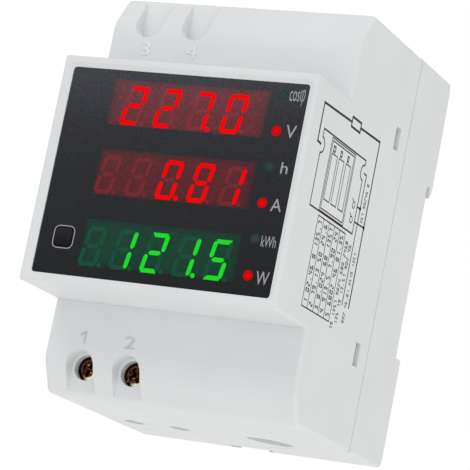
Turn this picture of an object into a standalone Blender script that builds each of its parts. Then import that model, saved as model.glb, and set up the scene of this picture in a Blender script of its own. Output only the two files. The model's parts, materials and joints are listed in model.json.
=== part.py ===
"""DIN rail energy meter, three modules wide, with a cable passage for its current transformer.

Units are metres and +Z is up. The origin is the middle of the seat that lies on the 35 mm rail.
The front looks along -Y, the rail is behind the seat on +Y, and the cable passage runs along Z.
Terminals 1 and 2 are at the lower end. The pockets 3 and 4 at the upper end are blind.
"""

import math

import bmesh
import bpy
from mathutils import Matrix, Vector

# Housing
BODY_WIDTH = 0.0540           # three standard modules of 18 mm
FRONT_HEIGHT = 0.0450         # raised front, for the 45 mm cut-out of a distribution board
COVER_HEIGHT = 0.0180         # each terminal cover, above and below the raised front
SEAT_TO_FRONT = 0.0615        # rail seat to the bezel's face
BACK_DEPTH = 0.0032           # how far the base reaches behind the rail seat
COVER_STEP = 0.0158           # how far the raised front stands in front of the terminal covers
SLOPE_HEIGHT = 0.0062         # sloping end of a terminal cover
SLOPE_RUN = 0.0040
BASE_DEPTH = 0.0147           # rail seat to the parting line
WALL = 0.0018
PARTING_GAP = 0.0003
FIT = 0.0003                  # gap between fixed pieces that meet
BODY_EDGE = 0.0008            # rounding of the outer edges
BEZEL_EDGE = 0.0005
SLOPE_EDGE = 0.0025           # soft bend between a terminal cover and its slope
PARTING_EDGE = 0.00015

# Lap joint and snap arms
LAP_HEIGHT = 0.0014
LAP_OUTER_WALL = 0.00075      # what is left of the cover's wall outside the lap
LAP_CLEARANCE = 0.0002
SNAP_Z = 0.0220               # middle of each snap window, above and below the middle
SNAP_WINDOW_HEIGHT = 0.0046
SNAP_WINDOW_DEPTH = 0.0023
SNAP_WINDOW_TO_PARTING = 0.0045
SNAP_ARM_THICKNESS = 0.0015
SNAP_HOOK = 0.0013
SNAP_HOOK_FACE = 0.0005

# Rail recess and latch, for a 35 mm rail with 1 mm flanges
RAIL_LOW_Z = -0.0183          # lower step of the recess
HOOK_TIP_Z = 0.0157           # lower end of the fixed upper hook
GROOVE_TOP_Z = 0.0179
GROOVE_WIDTH = 0.0016
GROOVE_RELIEF = 0.0002        # the groove is this much deeper than the seat
HOOK_SLOPE_Z = 0.0186
HOOK_LEAD = 0.0004            # blunted corners of the hook
BACK_CHAMFER_DEPTH = 0.0006
BACK_CHAMFER_HEIGHT = 0.0021
LATCH_X = -0.0008
LATCH_WIDTH = 0.0060          # part of the latch that shows in the slot
LATCH_WING = 0.0015           # guide wing on each side
LATCH_WING_THICKNESS = 0.0014
LATCH_THICKNESS = 0.0029
LATCH_NOSE_Z = -0.0166
LATCH_NOSE_THICKNESS = 0.0014
LATCH_LEAD = 0.0016           # height of the nose's slope
LATCH_SHOULDER_Z = -0.0196    # stop that the wings meet
LATCH_END_GAP = 0.0026        # latch to the base's lower end, at rest: room for its 2.4 mm of travel
LATCH_HEAD = 0.0041           # spring's window to the top of the wings
LATCH_FOOT = 0.0067           # latch's lower end to the top of the spring's shelf
TOOL_SLOT_EDGE = 0.0010
TOOL_SLOT_HEIGHT = 0.0014
CHANNEL_RELIEF = 0.0003
SPRING_RADIUS = 0.0011        # to the middle of the wire
SPRING_WIRE = 0.00018
SPRING_TURNS = 5
SPRING_WINDOW_WIDTH = 0.0034
SHELF_THICKNESS = 0.0012

# Front panel
BEZEL_LEFT = 0.0021           # bezel round the panel's recess
BEZEL_RIGHT = 0.0018
BEZEL_TOP = 0.0022
BEZEL_BOTTOM = 0.0019
PANEL_THICKNESS = 0.0010
PANEL_RECESS = 0.0005
BEZEL_SLOPE = 0.0009          # sloping inner edge of the bezel, across
BEZEL_SLOPE_DEPTH = 0.0004
PANEL_CORNER = 0.0006
PANEL_CLEARANCE = 0.00012
LEDGE_WIDTH = 0.0013
LEDGE_THICKNESS = 0.0016
BUTTON_COLUMN = 0.0091        # panel's left edge to the windows
LAMP_COLUMN = 0.0074          # panel's right edge to the windows
WINDOW_TOP_MARGIN = 0.0015
WINDOW_BOTTOM_MARGIN = 0.0020
WINDOW_GAP = 0.00435          # one window to the next
FILTER_CLEARANCE = 0.0001
FILTER_TAB = 0.0005
FILTER_TAB_THICKNESS = 0.0007
DISPLAY_MARGIN_X = 0.0005     # the window shows this much past each side of the display
DISPLAY_MARGIN_Z = 0.00025
DISPLAY_DEPTH = 0.0065
DISPLAY_FOOT = 0.0012
LED_GAP = 0.00145             # window to the lamp's edge
LED_TO_TOP = 0.00075          # window's upper edge to the middle of its upper lamp
LED_TO_BOTTOM = 0.00175       # its lower edge to the middle of its lower lamp
LED_RADIUS = 0.00095
LED_COLLAR_RADIUS = 0.00115
LED_COLLAR_HEIGHT = 0.0006
LED_CLEARANCE = 0.0001
LED_BODY_LENGTH = 0.0045
BUTTON_GAP = 0.0021           # window to the button's edge
BUTTON_TO_EDGE = 0.0072       # middle of the button to the panel's lower edge
BUTTON_SIZE = 0.0035
BUTTON_CORNER = 0.0007
BUTTON_CLEARANCE = 0.00015
BUTTON_PROUD = 0.00015        # cap in front of the panel's face
BUTTON_TRAVEL = 0.0005
BUTTON_FLANGE = 0.0007
BUTTON_FLANGE_THICKNESS = 0.0008
BUTTON_STEM = 0.0022          # cap behind the flange
SWITCH_SIZE = 0.0060
SWITCH_HEIGHT = 0.0032
PLUNGER_RADIUS = 0.0017
PLUNGER_LENGTH = 0.0030
PLUNGER_CLEARANCE = 0.0002

# Circuit boards
BOARD_THICKNESS = 0.0016
BOARD_EDGE_GAP = 0.0005       # board to the housing's inner walls
POST_RADIUS = 0.0017
POST_INSET_X = 0.0020         # post axis to the cover's inner walls
POST_INSET_Z = 0.0018
POST_PIN_RADIUS = 0.0006
POST_HEAD_RADIUS = 0.0011
POST_HEAD_HEIGHT = 0.0007
PIN_CLEARANCE = 0.0002
BOSS_RADIUS = 0.0026
BOSS_TO_WALL = 0.0047
BOSS_Z = 0.0140
BOARD_SCREW_RADIUS = 0.0011
BOARD_SCREW_LENGTH = 0.0070
BOARD_SCREW_HEAD_RADIUS = 0.0021
BOARD_SCREW_HEAD_HEIGHT = 0.0014
SCREW_CLEARANCE = 0.0002
RIBBON_WIDTH = 0.0100
RIBBON_THICKNESS = 0.0009
RIBBON_TO_EDGE = 0.0072       # ribbon's middle to the main board's right edge
RIBBON_FRONT_Z = -0.0060
RIBBON_BACK_Z = -0.0115

# Terminals
BLOCK_TO_WALL = 0.0008
TERMINAL_PITCH = 0.0102
HEAD_RADIUS = 0.0023
HEAD_HEIGHT = 0.0026
HEAD_GAP = 0.0002             # screw head to its hole
HEAD_SINK = 0.0015            # screw head behind the pocket's floor
HEAD_CLEARANCE = 0.0003
SLOT_WIDTH = 0.0007
SLOT_DEPTH = 0.0011
SHANK_RADIUS = 0.0015
SHANK_CLEARANCE = 0.0002
POCKET_RIM = 0.0005           # floor round each screw hole
POCKET_DEPTH = 0.0036         # below the terminal cover's front
POCKET_FLOOR = 0.0016
POCKET_WALL = 0.0014
CAGE_WIDTH = 0.0062
CAGE_DEPTH = 0.0046
CAGE_WALL = 0.0008
CAGE_PLATE = 0.0020           # threaded plate
CAGE_BAR = 0.0010
CAGE_WINDOW = 0.0064          # opening between plate and bar
CAGE_TRAVEL = 0.0030
CAGE_SIDE_GAP = 0.0004
CAGE_END_GAP = 0.0003
CAGE_BOARD_GAP = 0.0005
BLOCK_RIB = 0.0016            # block's walls beside its chambers
BLOCK_WALL = 0.0010           # block's walls at its chambers' ends
WIRE_TO_PARTING = 0.0002
WIRE_HOLE_RADIUS = 0.0020
WIRE_SHIFT = 0.0013           # wire entry to the left of its screw
WIRE_TO_TONGUE = 0.0007       # rim of the wire entry to the tongue
TONGUE_WIDTH = 0.0038
TONGUE_THICKNESS = 0.0010
TONGUE_GAP = 0.0005           # tongue to the threaded plate, clamp open
TONGUE_LEG_GAP = 0.0004       # tongue's leg to the block

# Cable passage and current transformer
PASSAGE_SHIFT = 0.0021        # from the middle of the space beside the terminals
PASSAGE_RADIUS = 0.0050
PASSAGE_RIM = 0.0004          # chamfer round each mouth
SLEEVE_WALL = 0.0007
TRANSFORMER_WALL = 0.0035     # ring from its bore to its rim
TRANSFORMER_HEIGHT = 0.0090
TRANSFORMER_EDGE = 0.0006
TRANSFORMER_GAP = 0.0006      # ring to the base's floor
SADDLE_EAR = 0.0012           # saddle beside the sleeve
SADDLE_THICKNESS = 0.0015
SADDLE_TO_END = 0.0057
LEAD_RADIUS = 0.0006
LEAD_PITCH = 0.0022
LEAD_REACH = 0.0035           # first lead's end beside its start
LEAD_CLIMB = 0.0030           # each lead's end above its start
LEAD_RISE = 0.0022
LEAD_ANGLE = 20.0             # first lead's start round the ring, from the left toward the front
LEAD_TURN = 22.0              # and the second lead's beyond it

# Parts on the main board: sizes, then distance from the left wall and height
CAPACITOR_RADIUS = 0.0040
CAPACITOR_HEIGHT = 0.0120
CAPACITOR_ROLL = 0.0005       # rounded upper edge of the can
CAPACITOR_FOOT = 0.0003
CAPACITOR_GROOVE = 0.0018     # foot to the middle of the rolled groove
CAPACITOR_GROOVE_HALF = 0.0006
CAPACITOR_AT = (0.0077, 0.0050)
FILM_SIZE = (0.0130, 0.0110, 0.0060)
FILM_AT = (0.0112, -0.0065)
VARISTOR_RADIUS = 0.0035
VARISTOR_THICKNESS = 0.0032
VARISTOR_LIFT = 0.0012
VARISTOR_AT = (0.0172, -0.0158)
RESISTOR_RADIUS = 0.0016
RESISTOR_LENGTH = 0.0080
RESISTOR_LIFT = 0.0008
RESISTOR_AT = (0.0152, 0.0215)
LEG_RADIUS = 0.0004
CHIP_SIZE = (0.0050, 0.0018, 0.0080)
CHIP_AT = (0.0174, 0.0138)
DRIVER_SIZE = (0.0100, 0.0020, 0.0075)
DRIVER_AT = (0.0312, 0.0030)

# Places that follow from the sizes above
HALF_WIDTH = BODY_WIDTH / 2
HALF_FRONT = FRONT_HEIGHT / 2
HALF_HEIGHT = HALF_FRONT + COVER_HEIGHT
INNER_X = HALF_WIDTH - WALL
INNER_Z = HALF_HEIGHT - WALL
INNER_FRONT_Z = HALF_FRONT - WALL
FRONT_Y = -SEAT_TO_FRONT
STEP_Y = FRONT_Y + COVER_STEP
PARTING_Y = -BASE_DEPTH
COVER_BACK_Y = PARTING_Y - PARTING_GAP / 2
BASE_FRONT_Y = PARTING_Y + PARTING_GAP / 2
LAP_X = HALF_WIDTH - LAP_OUTER_WALL
LAP_Z = HALF_HEIGHT - LAP_OUTER_WALL

PANEL_LEFT_X = BEZEL_LEFT + PANEL_CLEARANCE - HALF_WIDTH
PANEL_RIGHT_X = HALF_WIDTH - BEZEL_RIGHT - PANEL_CLEARANCE
PANEL_TOP_Z = HALF_FRONT - BEZEL_TOP - PANEL_CLEARANCE
PANEL_BOTTOM_Z = BEZEL_BOTTOM + PANEL_CLEARANCE - HALF_FRONT
PANEL_WIDTH = PANEL_RIGHT_X - PANEL_LEFT_X
PANEL_HEIGHT = PANEL_TOP_Z - PANEL_BOTTOM_Z
PANEL_X = (PANEL_LEFT_X + PANEL_RIGHT_X) / 2
PANEL_Z = (PANEL_BOTTOM_Z + PANEL_TOP_Z) / 2
PANEL_FACE_Y = FRONT_Y + PANEL_RECESS
PANEL_BACK_Y = PANEL_FACE_Y + PANEL_THICKNESS
LEDGE_Y = PANEL_BACK_Y + FIT
CAVITY_FRONT_Y = LEDGE_Y + LEDGE_THICKNESS
WINDOW_LEFT_X = PANEL_LEFT_X + BUTTON_COLUMN
WINDOW_RIGHT_X = PANEL_RIGHT_X - LAMP_COLUMN
WINDOW_WIDTH = WINDOW_RIGHT_X - WINDOW_LEFT_X
WINDOW_X = (WINDOW_LEFT_X + WINDOW_RIGHT_X) / 2
WINDOW_HEIGHT = (PANEL_HEIGHT - WINDOW_TOP_MARGIN - WINDOW_BOTTOM_MARGIN - 2 * WINDOW_GAP) / 3
DISPLAY_WIDTH = WINDOW_WIDTH - 2 * DISPLAY_MARGIN_X
DISPLAY_HEIGHT = WINDOW_HEIGHT - 2 * DISPLAY_MARGIN_Z
DISPLAY_Y = LEDGE_Y + FILTER_TAB_THICKNESS + FIT
LED_X = WINDOW_RIGHT_X + LED_GAP + LED_RADIUS
BUTTON_X = WINDOW_LEFT_X - BUTTON_GAP - BUTTON_SIZE / 2
BUTTON_Z = PANEL_BOTTOM_Z + BUTTON_TO_EDGE
FRONT_BOARD_Y = DISPLAY_Y + DISPLAY_DEPTH + FIT
FRONT_BOARD_BACK_Y = FRONT_BOARD_Y + BOARD_THICKNESS
POST_X = INNER_X - POST_INSET_X
POST_Z = INNER_FRONT_Z - POST_INSET_Z

SCREW_HOLE_RADIUS = HEAD_RADIUS + HEAD_GAP
POCKET_RADIUS = SCREW_HOLE_RADIUS + POCKET_RIM
CHAMBER_WIDTH = CAGE_WIDTH + 2 * CAGE_SIDE_GAP
CHAMBER_DEPTH = CAGE_DEPTH + 2 * CAGE_END_GAP
BLOCK_WIDTH = TERMINAL_PITCH + CHAMBER_WIDTH + 2 * BLOCK_RIB
BLOCK_DEPTH = CHAMBER_DEPTH + 2 * BLOCK_WALL
BLOCK_OUTER_Z = INNER_Z - FIT
BLOCK_INNER_Z = BLOCK_OUTER_Z - BLOCK_DEPTH
BLOCK_RIGHT_X = BLOCK_TO_WALL + BLOCK_WIDTH - INNER_X
TERMINAL_MIDDLE_X = BLOCK_RIGHT_X - BLOCK_WIDTH / 2
TERMINAL_XS = (TERMINAL_MIDDLE_X - TERMINAL_PITCH / 2, TERMINAL_MIDDLE_X + TERMINAL_PITCH / 2)
TERMINAL_Z = BLOCK_OUTER_Z - BLOCK_DEPTH / 2
WIRE_Y = PARTING_Y - WIRE_TO_PARTING
POCKET_FLOOR_Y = STEP_Y + POCKET_DEPTH
BLOCK_FRONT_Y = POCKET_FLOOR_Y + POCKET_FLOOR + FIT
HEAD_TOP_Y = POCKET_FLOOR_Y + HEAD_SINK
HEAD_SEAT_Y = HEAD_TOP_Y + HEAD_HEIGHT + HEAD_CLEARANCE
TONGUE_BACK_Y = WIRE_Y - WIRE_HOLE_RADIUS - WIRE_TO_TONGUE
TONGUE_FRONT_Y = TONGUE_BACK_Y - TONGUE_THICKNESS
PLATE_BACK_Y = TONGUE_FRONT_Y - TONGUE_GAP
PLATE_FRONT_Y = PLATE_BACK_Y - CAGE_PLATE
CAGE_BACK_Y = PLATE_BACK_Y + CAGE_WINDOW + CAGE_BAR
CHAMBER_FRONT_Y = PLATE_FRONT_Y - CAGE_TRAVEL - 2 * FIT

MAIN_BOARD_Y = CAGE_BACK_Y + CAGE_BOARD_GAP
MAIN_BOARD_BACK_Y = MAIN_BOARD_Y + BOARD_THICKNESS
ON_BOARD_Y = MAIN_BOARD_Y - FIT
BOSS_X = BOSS_TO_WALL - INNER_X
PASSAGE_X = (BLOCK_RIGHT_X + INNER_X) / 2 - PASSAGE_SHIFT
SLEEVE_RADIUS = PASSAGE_RADIUS + SLEEVE_WALL
TRANSFORMER_BORE = SLEEVE_RADIUS + FIT
TRANSFORMER_RADIUS = TRANSFORMER_BORE + TRANSFORMER_WALL
PASSAGE_Y = -WALL - TRANSFORMER_GAP - TRANSFORMER_RADIUS
SADDLE_RADIUS = SLEEVE_RADIUS + FIT
SADDLE_HALF_WIDTH = SADDLE_RADIUS + SADDLE_EAR
SADDLE_Z = TRANSFORMER_HEIGHT / 2 + FIT
SADDLE_END_Z = INNER_Z - SADDLE_TO_END
MAIN_BOARD_RIGHT_X = PASSAGE_X - SADDLE_HALF_WIDTH - FIT
RIBBON_X = MAIN_BOARD_RIGHT_X - RIBBON_TO_EDGE

SNAP_BACK_Y = PARTING_Y - SNAP_WINDOW_TO_PARTING
SNAP_FRONT_Y = SNAP_BACK_Y - SNAP_WINDOW_DEPTH
SNAP_ARM_X = INNER_X - FIT
CHANNEL_FLOOR_Y = -CHANNEL_RELIEF
LATCH_Y = CHANNEL_FLOOR_Y + FIT
LATCH_LOW_Z = LATCH_END_GAP - HALF_HEIGHT
WING_TOP_Z = LATCH_SHOULDER_Z - FIT
SPRING_TOP_Z = WING_TOP_Z - LATCH_HEAD
SHELF_TOP_Z = LATCH_LOW_Z + LATCH_FOOT
SPRING_LENGTH = SPRING_TOP_Z - SHELF_TOP_Z - 2 * FIT

PAST = 0.002                  # how far a cutter reaches past the face that it cuts


def clear_scene():
    for old in list(bpy.data.objects):
        bpy.data.objects.remove(old, do_unlink=True)


def new_collection(name, parent=None):
    group = bpy.data.collections.new(name)
    (parent or bpy.context.scene.collection).children.link(group)
    return group


clear_scene()
PARTS = new_collection("din_rail_energy_meter")
CUTTERS = new_collection("cutters")


# Building blocks

def add_object(name, data, collection):
    thing = bpy.data.objects.new(name, data)
    collection.objects.link(thing)
    return thing


def mesh_object(name, work, collection):
    """Turn a bmesh into an object, with its faces pointing out."""
    bmesh.ops.recalc_face_normals(work, faces=work.faces)
    mesh = bpy.data.meshes.new(name)
    work.to_mesh(mesh)
    work.free()
    return add_object(name, mesh, collection)


def block(name, low, high, collection=None):
    """A box between two corners."""
    low, high = Vector(low), Vector(high)
    work = bmesh.new()
    bmesh.ops.create_cube(work, size=1.0)
    size = high - low
    bmesh.ops.transform(work, verts=work.verts,
                        matrix=Matrix.Translation((low + high) / 2) @ Matrix.Diagonal((*size, 1)))
    return mesh_object(name, work, collection or CUTTERS)


AXIS_TURN = {
    "X": Matrix(((0, 0, 1, 0), (1, 0, 0, 0), (0, 1, 0, 0), (0, 0, 0, 1))),
    "Y": Matrix(((1, 0, 0, 0), (0, 0, -1, 0), (0, 1, 0, 0), (0, 0, 0, 1))),
    "Z": Matrix.Identity(4),
}


def along(axis, first, second, third):
    """The world point with two flat coordinates and a distance along an axis."""
    return {"X": Vector((third, first, second)),
            "Y": Vector((first, third, second)),
            "Z": Vector((first, second, third))}[axis]


def cylinder(name, axis, centre, radius, low, high, segments=32, collection=None, high_radius=None):
    """A cylinder along an axis, from low to high, at a centre in the other two coordinates."""
    work = bmesh.new()
    bmesh.ops.create_cone(work, cap_ends=True, segments=segments, radius1=radius,
                          radius2=high_radius or radius, depth=high - low)
    place = Matrix.Translation(along(axis, *centre, (low + high) / 2)) @ AXIS_TURN[axis]
    bmesh.ops.transform(work, verts=work.verts, matrix=place)
    return mesh_object(name, work, collection or CUTTERS)


def prism(name, axis, outline, low, high, collection=None):
    """A flat outline drawn out along an axis, made from a filled 2D curve."""
    curve = bpy.data.curves.new(name, "CURVE")
    curve.dimensions = "2D"
    curve.fill_mode = "BOTH"
    curve.extrude = (high - low) / 2
    spline = curve.splines.new("POLY")
    spline.points.add(len(outline) - 1)
    for point, (first, second) in zip(spline.points, outline):
        point.co = (first, second, 0.0, 1.0)
    spline.use_cyclic_u = True
    drawn = add_object(name + "_outline", curve, CUTTERS)
    bpy.context.view_layer.update()
    mesh = bpy.data.meshes.new_from_object(drawn.evaluated_get(bpy.context.evaluated_depsgraph_get()))
    bpy.data.objects.remove(drawn, do_unlink=True)
    work = bmesh.new()
    work.from_mesh(mesh)
    bpy.data.meshes.remove(mesh)
    bpy.data.curves.remove(curve)
    bmesh.ops.remove_doubles(work, verts=work.verts, dist=1e-7)
    bmesh.ops.dissolve_limit(work, angle_limit=0.002, verts=work.verts, edges=work.edges)
    place = Matrix.Translation(along(axis, 0.0, 0.0, (low + high) / 2)) @ AXIS_TURN[axis]
    bmesh.ops.transform(work, verts=work.verts, matrix=place)
    return mesh_object(name, work, collection or CUTTERS)


def funnel(name, near, near_y, far, far_y):
    """A solid between two outlines of as many points, which both lie across Y."""
    work = bmesh.new()
    ends = [[work.verts.new(along("Y", *point, y)) for point in outline]
            for outline, y in ((near, near_y), (far, far_y))]
    for end in ends:
        work.faces.new(end)
    for a, b, c, d in zip(ends[0], ends[0][1:] + ends[0][:1], ends[1][1:] + ends[1][:1], ends[1]):
        work.faces.new((a, b, c, d))
    return mesh_object(name, work, CUTTERS)


def turned(name, profile, location, toward_front=True, steps=32):
    """Turn a profile of (radius, height) points, top first, round its own axis."""
    mesh = bpy.data.meshes.new(name)
    edges = [(i, i + 1) for i in range(len(profile) - 1)]
    if profile[0][0] > 0:
        edges.append((len(profile) - 1, 0))
    mesh.from_pydata([(radius, 0.0, height) for radius, height in profile], edges, [])
    part = add_object(name, mesh, PARTS)
    part.location = location
    if toward_front:
        part.rotation_euler = (math.radians(90), 0.0, 0.0)
    screw = part.modifiers.new("turn", "SCREW")
    screw.axis = "Z"
    screw.steps = screw.render_steps = steps
    screw.use_merge_vertices = True
    screw.merge_threshold = 1e-6
    screw.use_smooth_shade = True
    return part


def rounded_rectangle(centre, size, radius, steps=3):
    """Corner points of a rectangle with round corners."""
    points = []
    for quarter, (sx, sz) in enumerate(((1, 1), (-1, 1), (-1, -1), (1, -1))):
        cx = centre[0] + sx * (size[0] / 2 - radius)
        cz = centre[1] + sz * (size[1] / 2 - radius)
        for step in range(steps + 1):
            angle = math.radians(90) * (quarter + step / steps)
            points.append((cx + radius * math.cos(angle), cz + radius * math.sin(angle)))
    return points


def pocket_outline(x, sign, radius, steps=12):
    """A round end toward the middle of the meter, open toward the end of the housing."""
    end = sign * (HALF_HEIGHT + PAST)
    arc = [(x + radius * math.cos(math.pi * i / steps),
            sign * (TERMINAL_Z - radius * math.sin(math.pi * i / steps)))
           for i in range(steps + 1)]
    return arc + [(x - radius, end), (x + radius, end)]


def inset(outline, distance):
    """Move each edge of a closed outline inward by a distance, and meet them again."""
    area = sum(a[0] * b[1] - b[0] * a[1] for a, b in zip(outline, outline[1:] + outline[:1]))
    turn = 1.0 if area > 0 else -1.0
    lines = []
    for a, b in zip(outline, outline[1:] + outline[:1]):
        direction = (Vector(b) - Vector(a)).normalized()
        normal = Vector((-direction.y, direction.x)) * turn
        lines.append((Vector(a) + normal * distance, direction))
    points = []
    for (p, d), (q, e) in zip(lines[-1:] + lines[:-1], lines):
        step = (q - p).cross(e) / d.cross(e)
        points.append(tuple(p + d * step))
    return points


def boolean(part, operation, *others):
    """Cut with, or join to, each other object or collection in turn."""
    for other in others:
        step = part.modifiers.new(operation.lower() + "_" + other.name, "BOOLEAN")
        step.operation = operation
        step.solver = "EXACT"
        if isinstance(other, bpy.types.Collection):
            step.operand_type = "COLLECTION"
            step.collection = other
        else:
            step.object = other


def round_edges(part, width, rule, segments=3):
    """Bevel the edges that the rule gives a width, from their middle and direction."""
    mesh = part.data
    weights = mesh.attributes.new("bevel_weight_edge", "FLOAT", "EDGE")
    for edge in mesh.edges:
        a, b = (mesh.vertices[i].co for i in edge.vertices)
        weights.data[edge.index].value = rule((a + b) / 2, (b - a).normalized()) / width
    bevel = part.modifiers.new("edges", "BEVEL")
    bevel.limit_method = "WEIGHT"
    bevel.width = width
    bevel.segments = segments
    bevel.use_clamp_overlap = False


def recentre(part, point):
    """Put the part's origin on a point, with its shape left in place."""
    part.data.transform(Matrix.Translation(-Vector(point)))
    part.location = point


def paint(part, colour, roughness, metallic=0.0, glow=0.0):
    """Give the part a material of its own."""
    finish = bpy.data.materials.new(part.name)
    finish.use_nodes = True
    shader = finish.node_tree.nodes["Principled BSDF"]
    shader.inputs["Base Color"].default_value = (*colour, 1.0)
    shader.inputs["Roughness"].default_value = roughness
    shader.inputs["Metallic"].default_value = metallic
    if glow:
        shader.inputs["Emission Color"].default_value = (*colour, 1.0)
        shader.inputs["Emission Strength"].default_value = glow
    finish.diffuse_color = (*colour, 1.0)
    part.data.materials.append(finish)
    return part


WHITE_PLASTIC = ((0.72, 0.74, 0.75), 0.45)
BLACK_PLASTIC = ((0.03, 0.03, 0.035), 0.4)
PANEL_BLACK = ((0.028, 0.029, 0.034), 0.3)
RED_TINT = ((0.115, 0.022, 0.028), 0.2)
GREEN_TINT = ((0.012, 0.065, 0.04), 0.2)
DISPLAY_BODY = ((0.5, 0.5, 0.5), 0.5)
LIT_RED = ((0.9, 0.01, 0.01), 0.3)
UNLIT_GREEN = ((0.02, 0.055, 0.045), 0.3)
BOARD_GREEN = ((0.02, 0.14, 0.06), 0.5)
ZINC_YELLOW = ((0.75, 0.55, 0.25), 0.35, 1.0)
NICKEL = ((0.66, 0.64, 0.6), 0.3, 1.0)


def add_cutter(collection, cutter):
    """Move a cutter into a collection of cutters that work together."""
    for old in list(cutter.users_collection):
        old.objects.unlink(cutter)
    collection.objects.link(cutter)
    return cutter


# Housing

def mirrored(upper):
    """Close an upper half outline with its mirror image below."""
    return upper + [(y, -z) for y, z in reversed(upper)]


def cover_outline():
    """Side view of the cover, as (y, z) points from the front to the parting line."""
    return mirrored([
        (FRONT_Y, HALF_FRONT),
        (STEP_Y, HALF_FRONT),
        (STEP_Y, HALF_HEIGHT - SLOPE_HEIGHT),
        (STEP_Y + SLOPE_RUN, HALF_HEIGHT),
        (COVER_BACK_Y, HALF_HEIGHT),
    ])


def cover_edge(middle, direction):
    """How far each outer edge of the cover is rounded."""
    y, z = middle.y, abs(middle.z)
    across = abs(direction.x) > 0.9
    if y > COVER_BACK_Y - 1e-5:
        return PARTING_EDGE
    if across and abs(y - STEP_Y) < 1e-5:
        return SLOPE_EDGE if z > HALF_FRONT + 1e-5 else 0.0
    return BEZEL_EDGE if y < STEP_Y - 1e-5 else BODY_EDGE


def cover_core():
    """The space inside the cover: everything that the mould's core fills."""
    room = []
    for y, z in inset(cover_outline(), WALL):
        if abs(z) < INNER_FRONT_Z + 1e-6 and y < STEP_Y:
            y = CAVITY_FRONT_Y
        room.append((COVER_BACK_Y + PAST if y > COVER_BACK_Y - 2 * WALL else y, z))
    core = prism("cover_core", "X", room, -INNER_X, INNER_X)
    slots = new_collection("cover_core_slots", CUTTERS)
    for sign in (-1, 1):
        for x in TERMINAL_XS:
            outline = pocket_outline(x, sign, POCKET_RADIUS + POCKET_WALL, 8)
            add_cutter(slots, prism("pocket_well", "Y", outline, STEP_Y - PAST,
                                    POCKET_FLOOR_Y + POCKET_FLOOR))
        for side in (-1, 1):
            centre = (side * POST_X, sign * POST_Z)
            pin_end = FRONT_BOARD_BACK_Y + FIT
            for name, radius, low, high in (
                    ("post", POST_RADIUS, CAVITY_FRONT_Y - PAST, FRONT_BOARD_Y - FIT),
                    ("post_pin", POST_PIN_RADIUS, FRONT_BOARD_Y - PAST, pin_end + PAST / 8),
                    ("post_head", POST_HEAD_RADIUS, pin_end, pin_end + POST_HEAD_HEIGHT)):
                add_cutter(slots, cylinder(name, "Y", centre, radius, low, high, 12))
    boolean(core, "DIFFERENCE", slots)
    return core


def through_holes(collection):
    """Wire entries in the lower end wall, and the cable passage through both."""
    for x in TERMINAL_XS:
        add_cutter(collection, cylinder("wire_entry", "Z", (x - WIRE_SHIFT, WIRE_Y), WIRE_HOLE_RADIUS,
                                        -HALF_HEIGHT - PAST, PAST - INNER_Z, 24))
    wide = PASSAGE_RADIUS + PASSAGE_RIM + PAST
    for sign in (-1, 1):
        low, high = sorted((sign * (INNER_Z - PAST), sign * (HALF_HEIGHT + PAST)))
        add_cutter(collection, cylinder("passage_mouth", "Z", (PASSAGE_X, PASSAGE_Y),
                                        PASSAGE_RADIUS, low, high, 40))
        low, high = sorted((sign * (HALF_HEIGHT - PASSAGE_RIM), sign * (HALF_HEIGHT + PAST)))
        ends = (wide, PASSAGE_RADIUS) if sign < 0 else (PASSAGE_RADIUS, wide)
        add_cutter(collection, cylinder("passage_rim", "Z", (PASSAGE_X, PASSAGE_Y), ends[0],
                                        low, high, 40, high_radius=ends[1]))


def make_front_cover():
    cover = prism("front_cover", "X", cover_outline(), -HALF_WIDTH, HALF_WIDTH, PARTS)
    round_edges(cover, SLOPE_EDGE, cover_edge)
    boolean(cover, "DIFFERENCE", cover_core())
    cuts = new_collection("cover_cuts", CUTTERS)
    size = (PANEL_WIDTH + 2 * PANEL_CLEARANCE, PANEL_HEIGHT + 2 * PANEL_CLEARANCE)
    recess = rounded_rectangle((PANEL_X, PANEL_Z), size, PANEL_CORNER)
    opening = rounded_rectangle((PANEL_X, PANEL_Z),
                                (size[0] - 2 * LEDGE_WIDTH, size[1] - 2 * LEDGE_WIDTH), PANEL_CORNER)
    add_cutter(cuts, prism("panel_recess", "Y", recess, FRONT_Y - PAST, LEDGE_Y))
    add_cutter(cuts, prism("panel_opening", "Y", opening, LEDGE_Y - PAST / 4, CAVITY_FRONT_Y + PAST / 4))
    reach = PAST / 4
    grow = 2 * BEZEL_SLOPE * (1 + reach / BEZEL_SLOPE_DEPTH)
    wide = rounded_rectangle((PANEL_X, PANEL_Z), (size[0] + grow, size[1] + grow),
                             PANEL_CORNER + grow / 2)
    add_cutter(cuts, funnel("bezel_slope", wide, FRONT_Y - reach, recess, FRONT_Y + BEZEL_SLOPE_DEPTH))
    for x in TERMINAL_XS:
        add_cutter(cuts, cylinder("screw_hole", "Y", (x, -TERMINAL_Z), SCREW_HOLE_RADIUS,
                                  POCKET_FLOOR_Y - PAST / 2, BLOCK_FRONT_Y + PAST, 24))
    for sign in (-1, 1):
        for x in TERMINAL_XS:
            add_cutter(cuts, prism("screw_pocket", "Y", pocket_outline(x, sign, POCKET_RADIUS),
                                   STEP_Y - PAST, POCKET_FLOOR_Y))
        for side in (-1, 1):
            inner, outer = sorted((side * (INNER_X - PAST / 4), side * (HALF_WIDTH + PAST)))
            low = sign * SNAP_Z - SNAP_WINDOW_HEIGHT / 2
            add_cutter(cuts, block("snap_window", (inner, SNAP_FRONT_Y, low),
                                   (outer, SNAP_BACK_Y, low + SNAP_WINDOW_HEIGHT)))
    lap_front = COVER_BACK_Y - LAP_HEIGHT - FIT
    add_cutter(cuts, block("lap_rebate", (-LAP_X, lap_front, -LAP_Z),
                           (LAP_X, COVER_BACK_Y + PAST, LAP_Z)))
    through_holes(cuts)
    boolean(cover, "DIFFERENCE", cuts)
    return paint(cover, *WHITE_PLASTIC)


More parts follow.
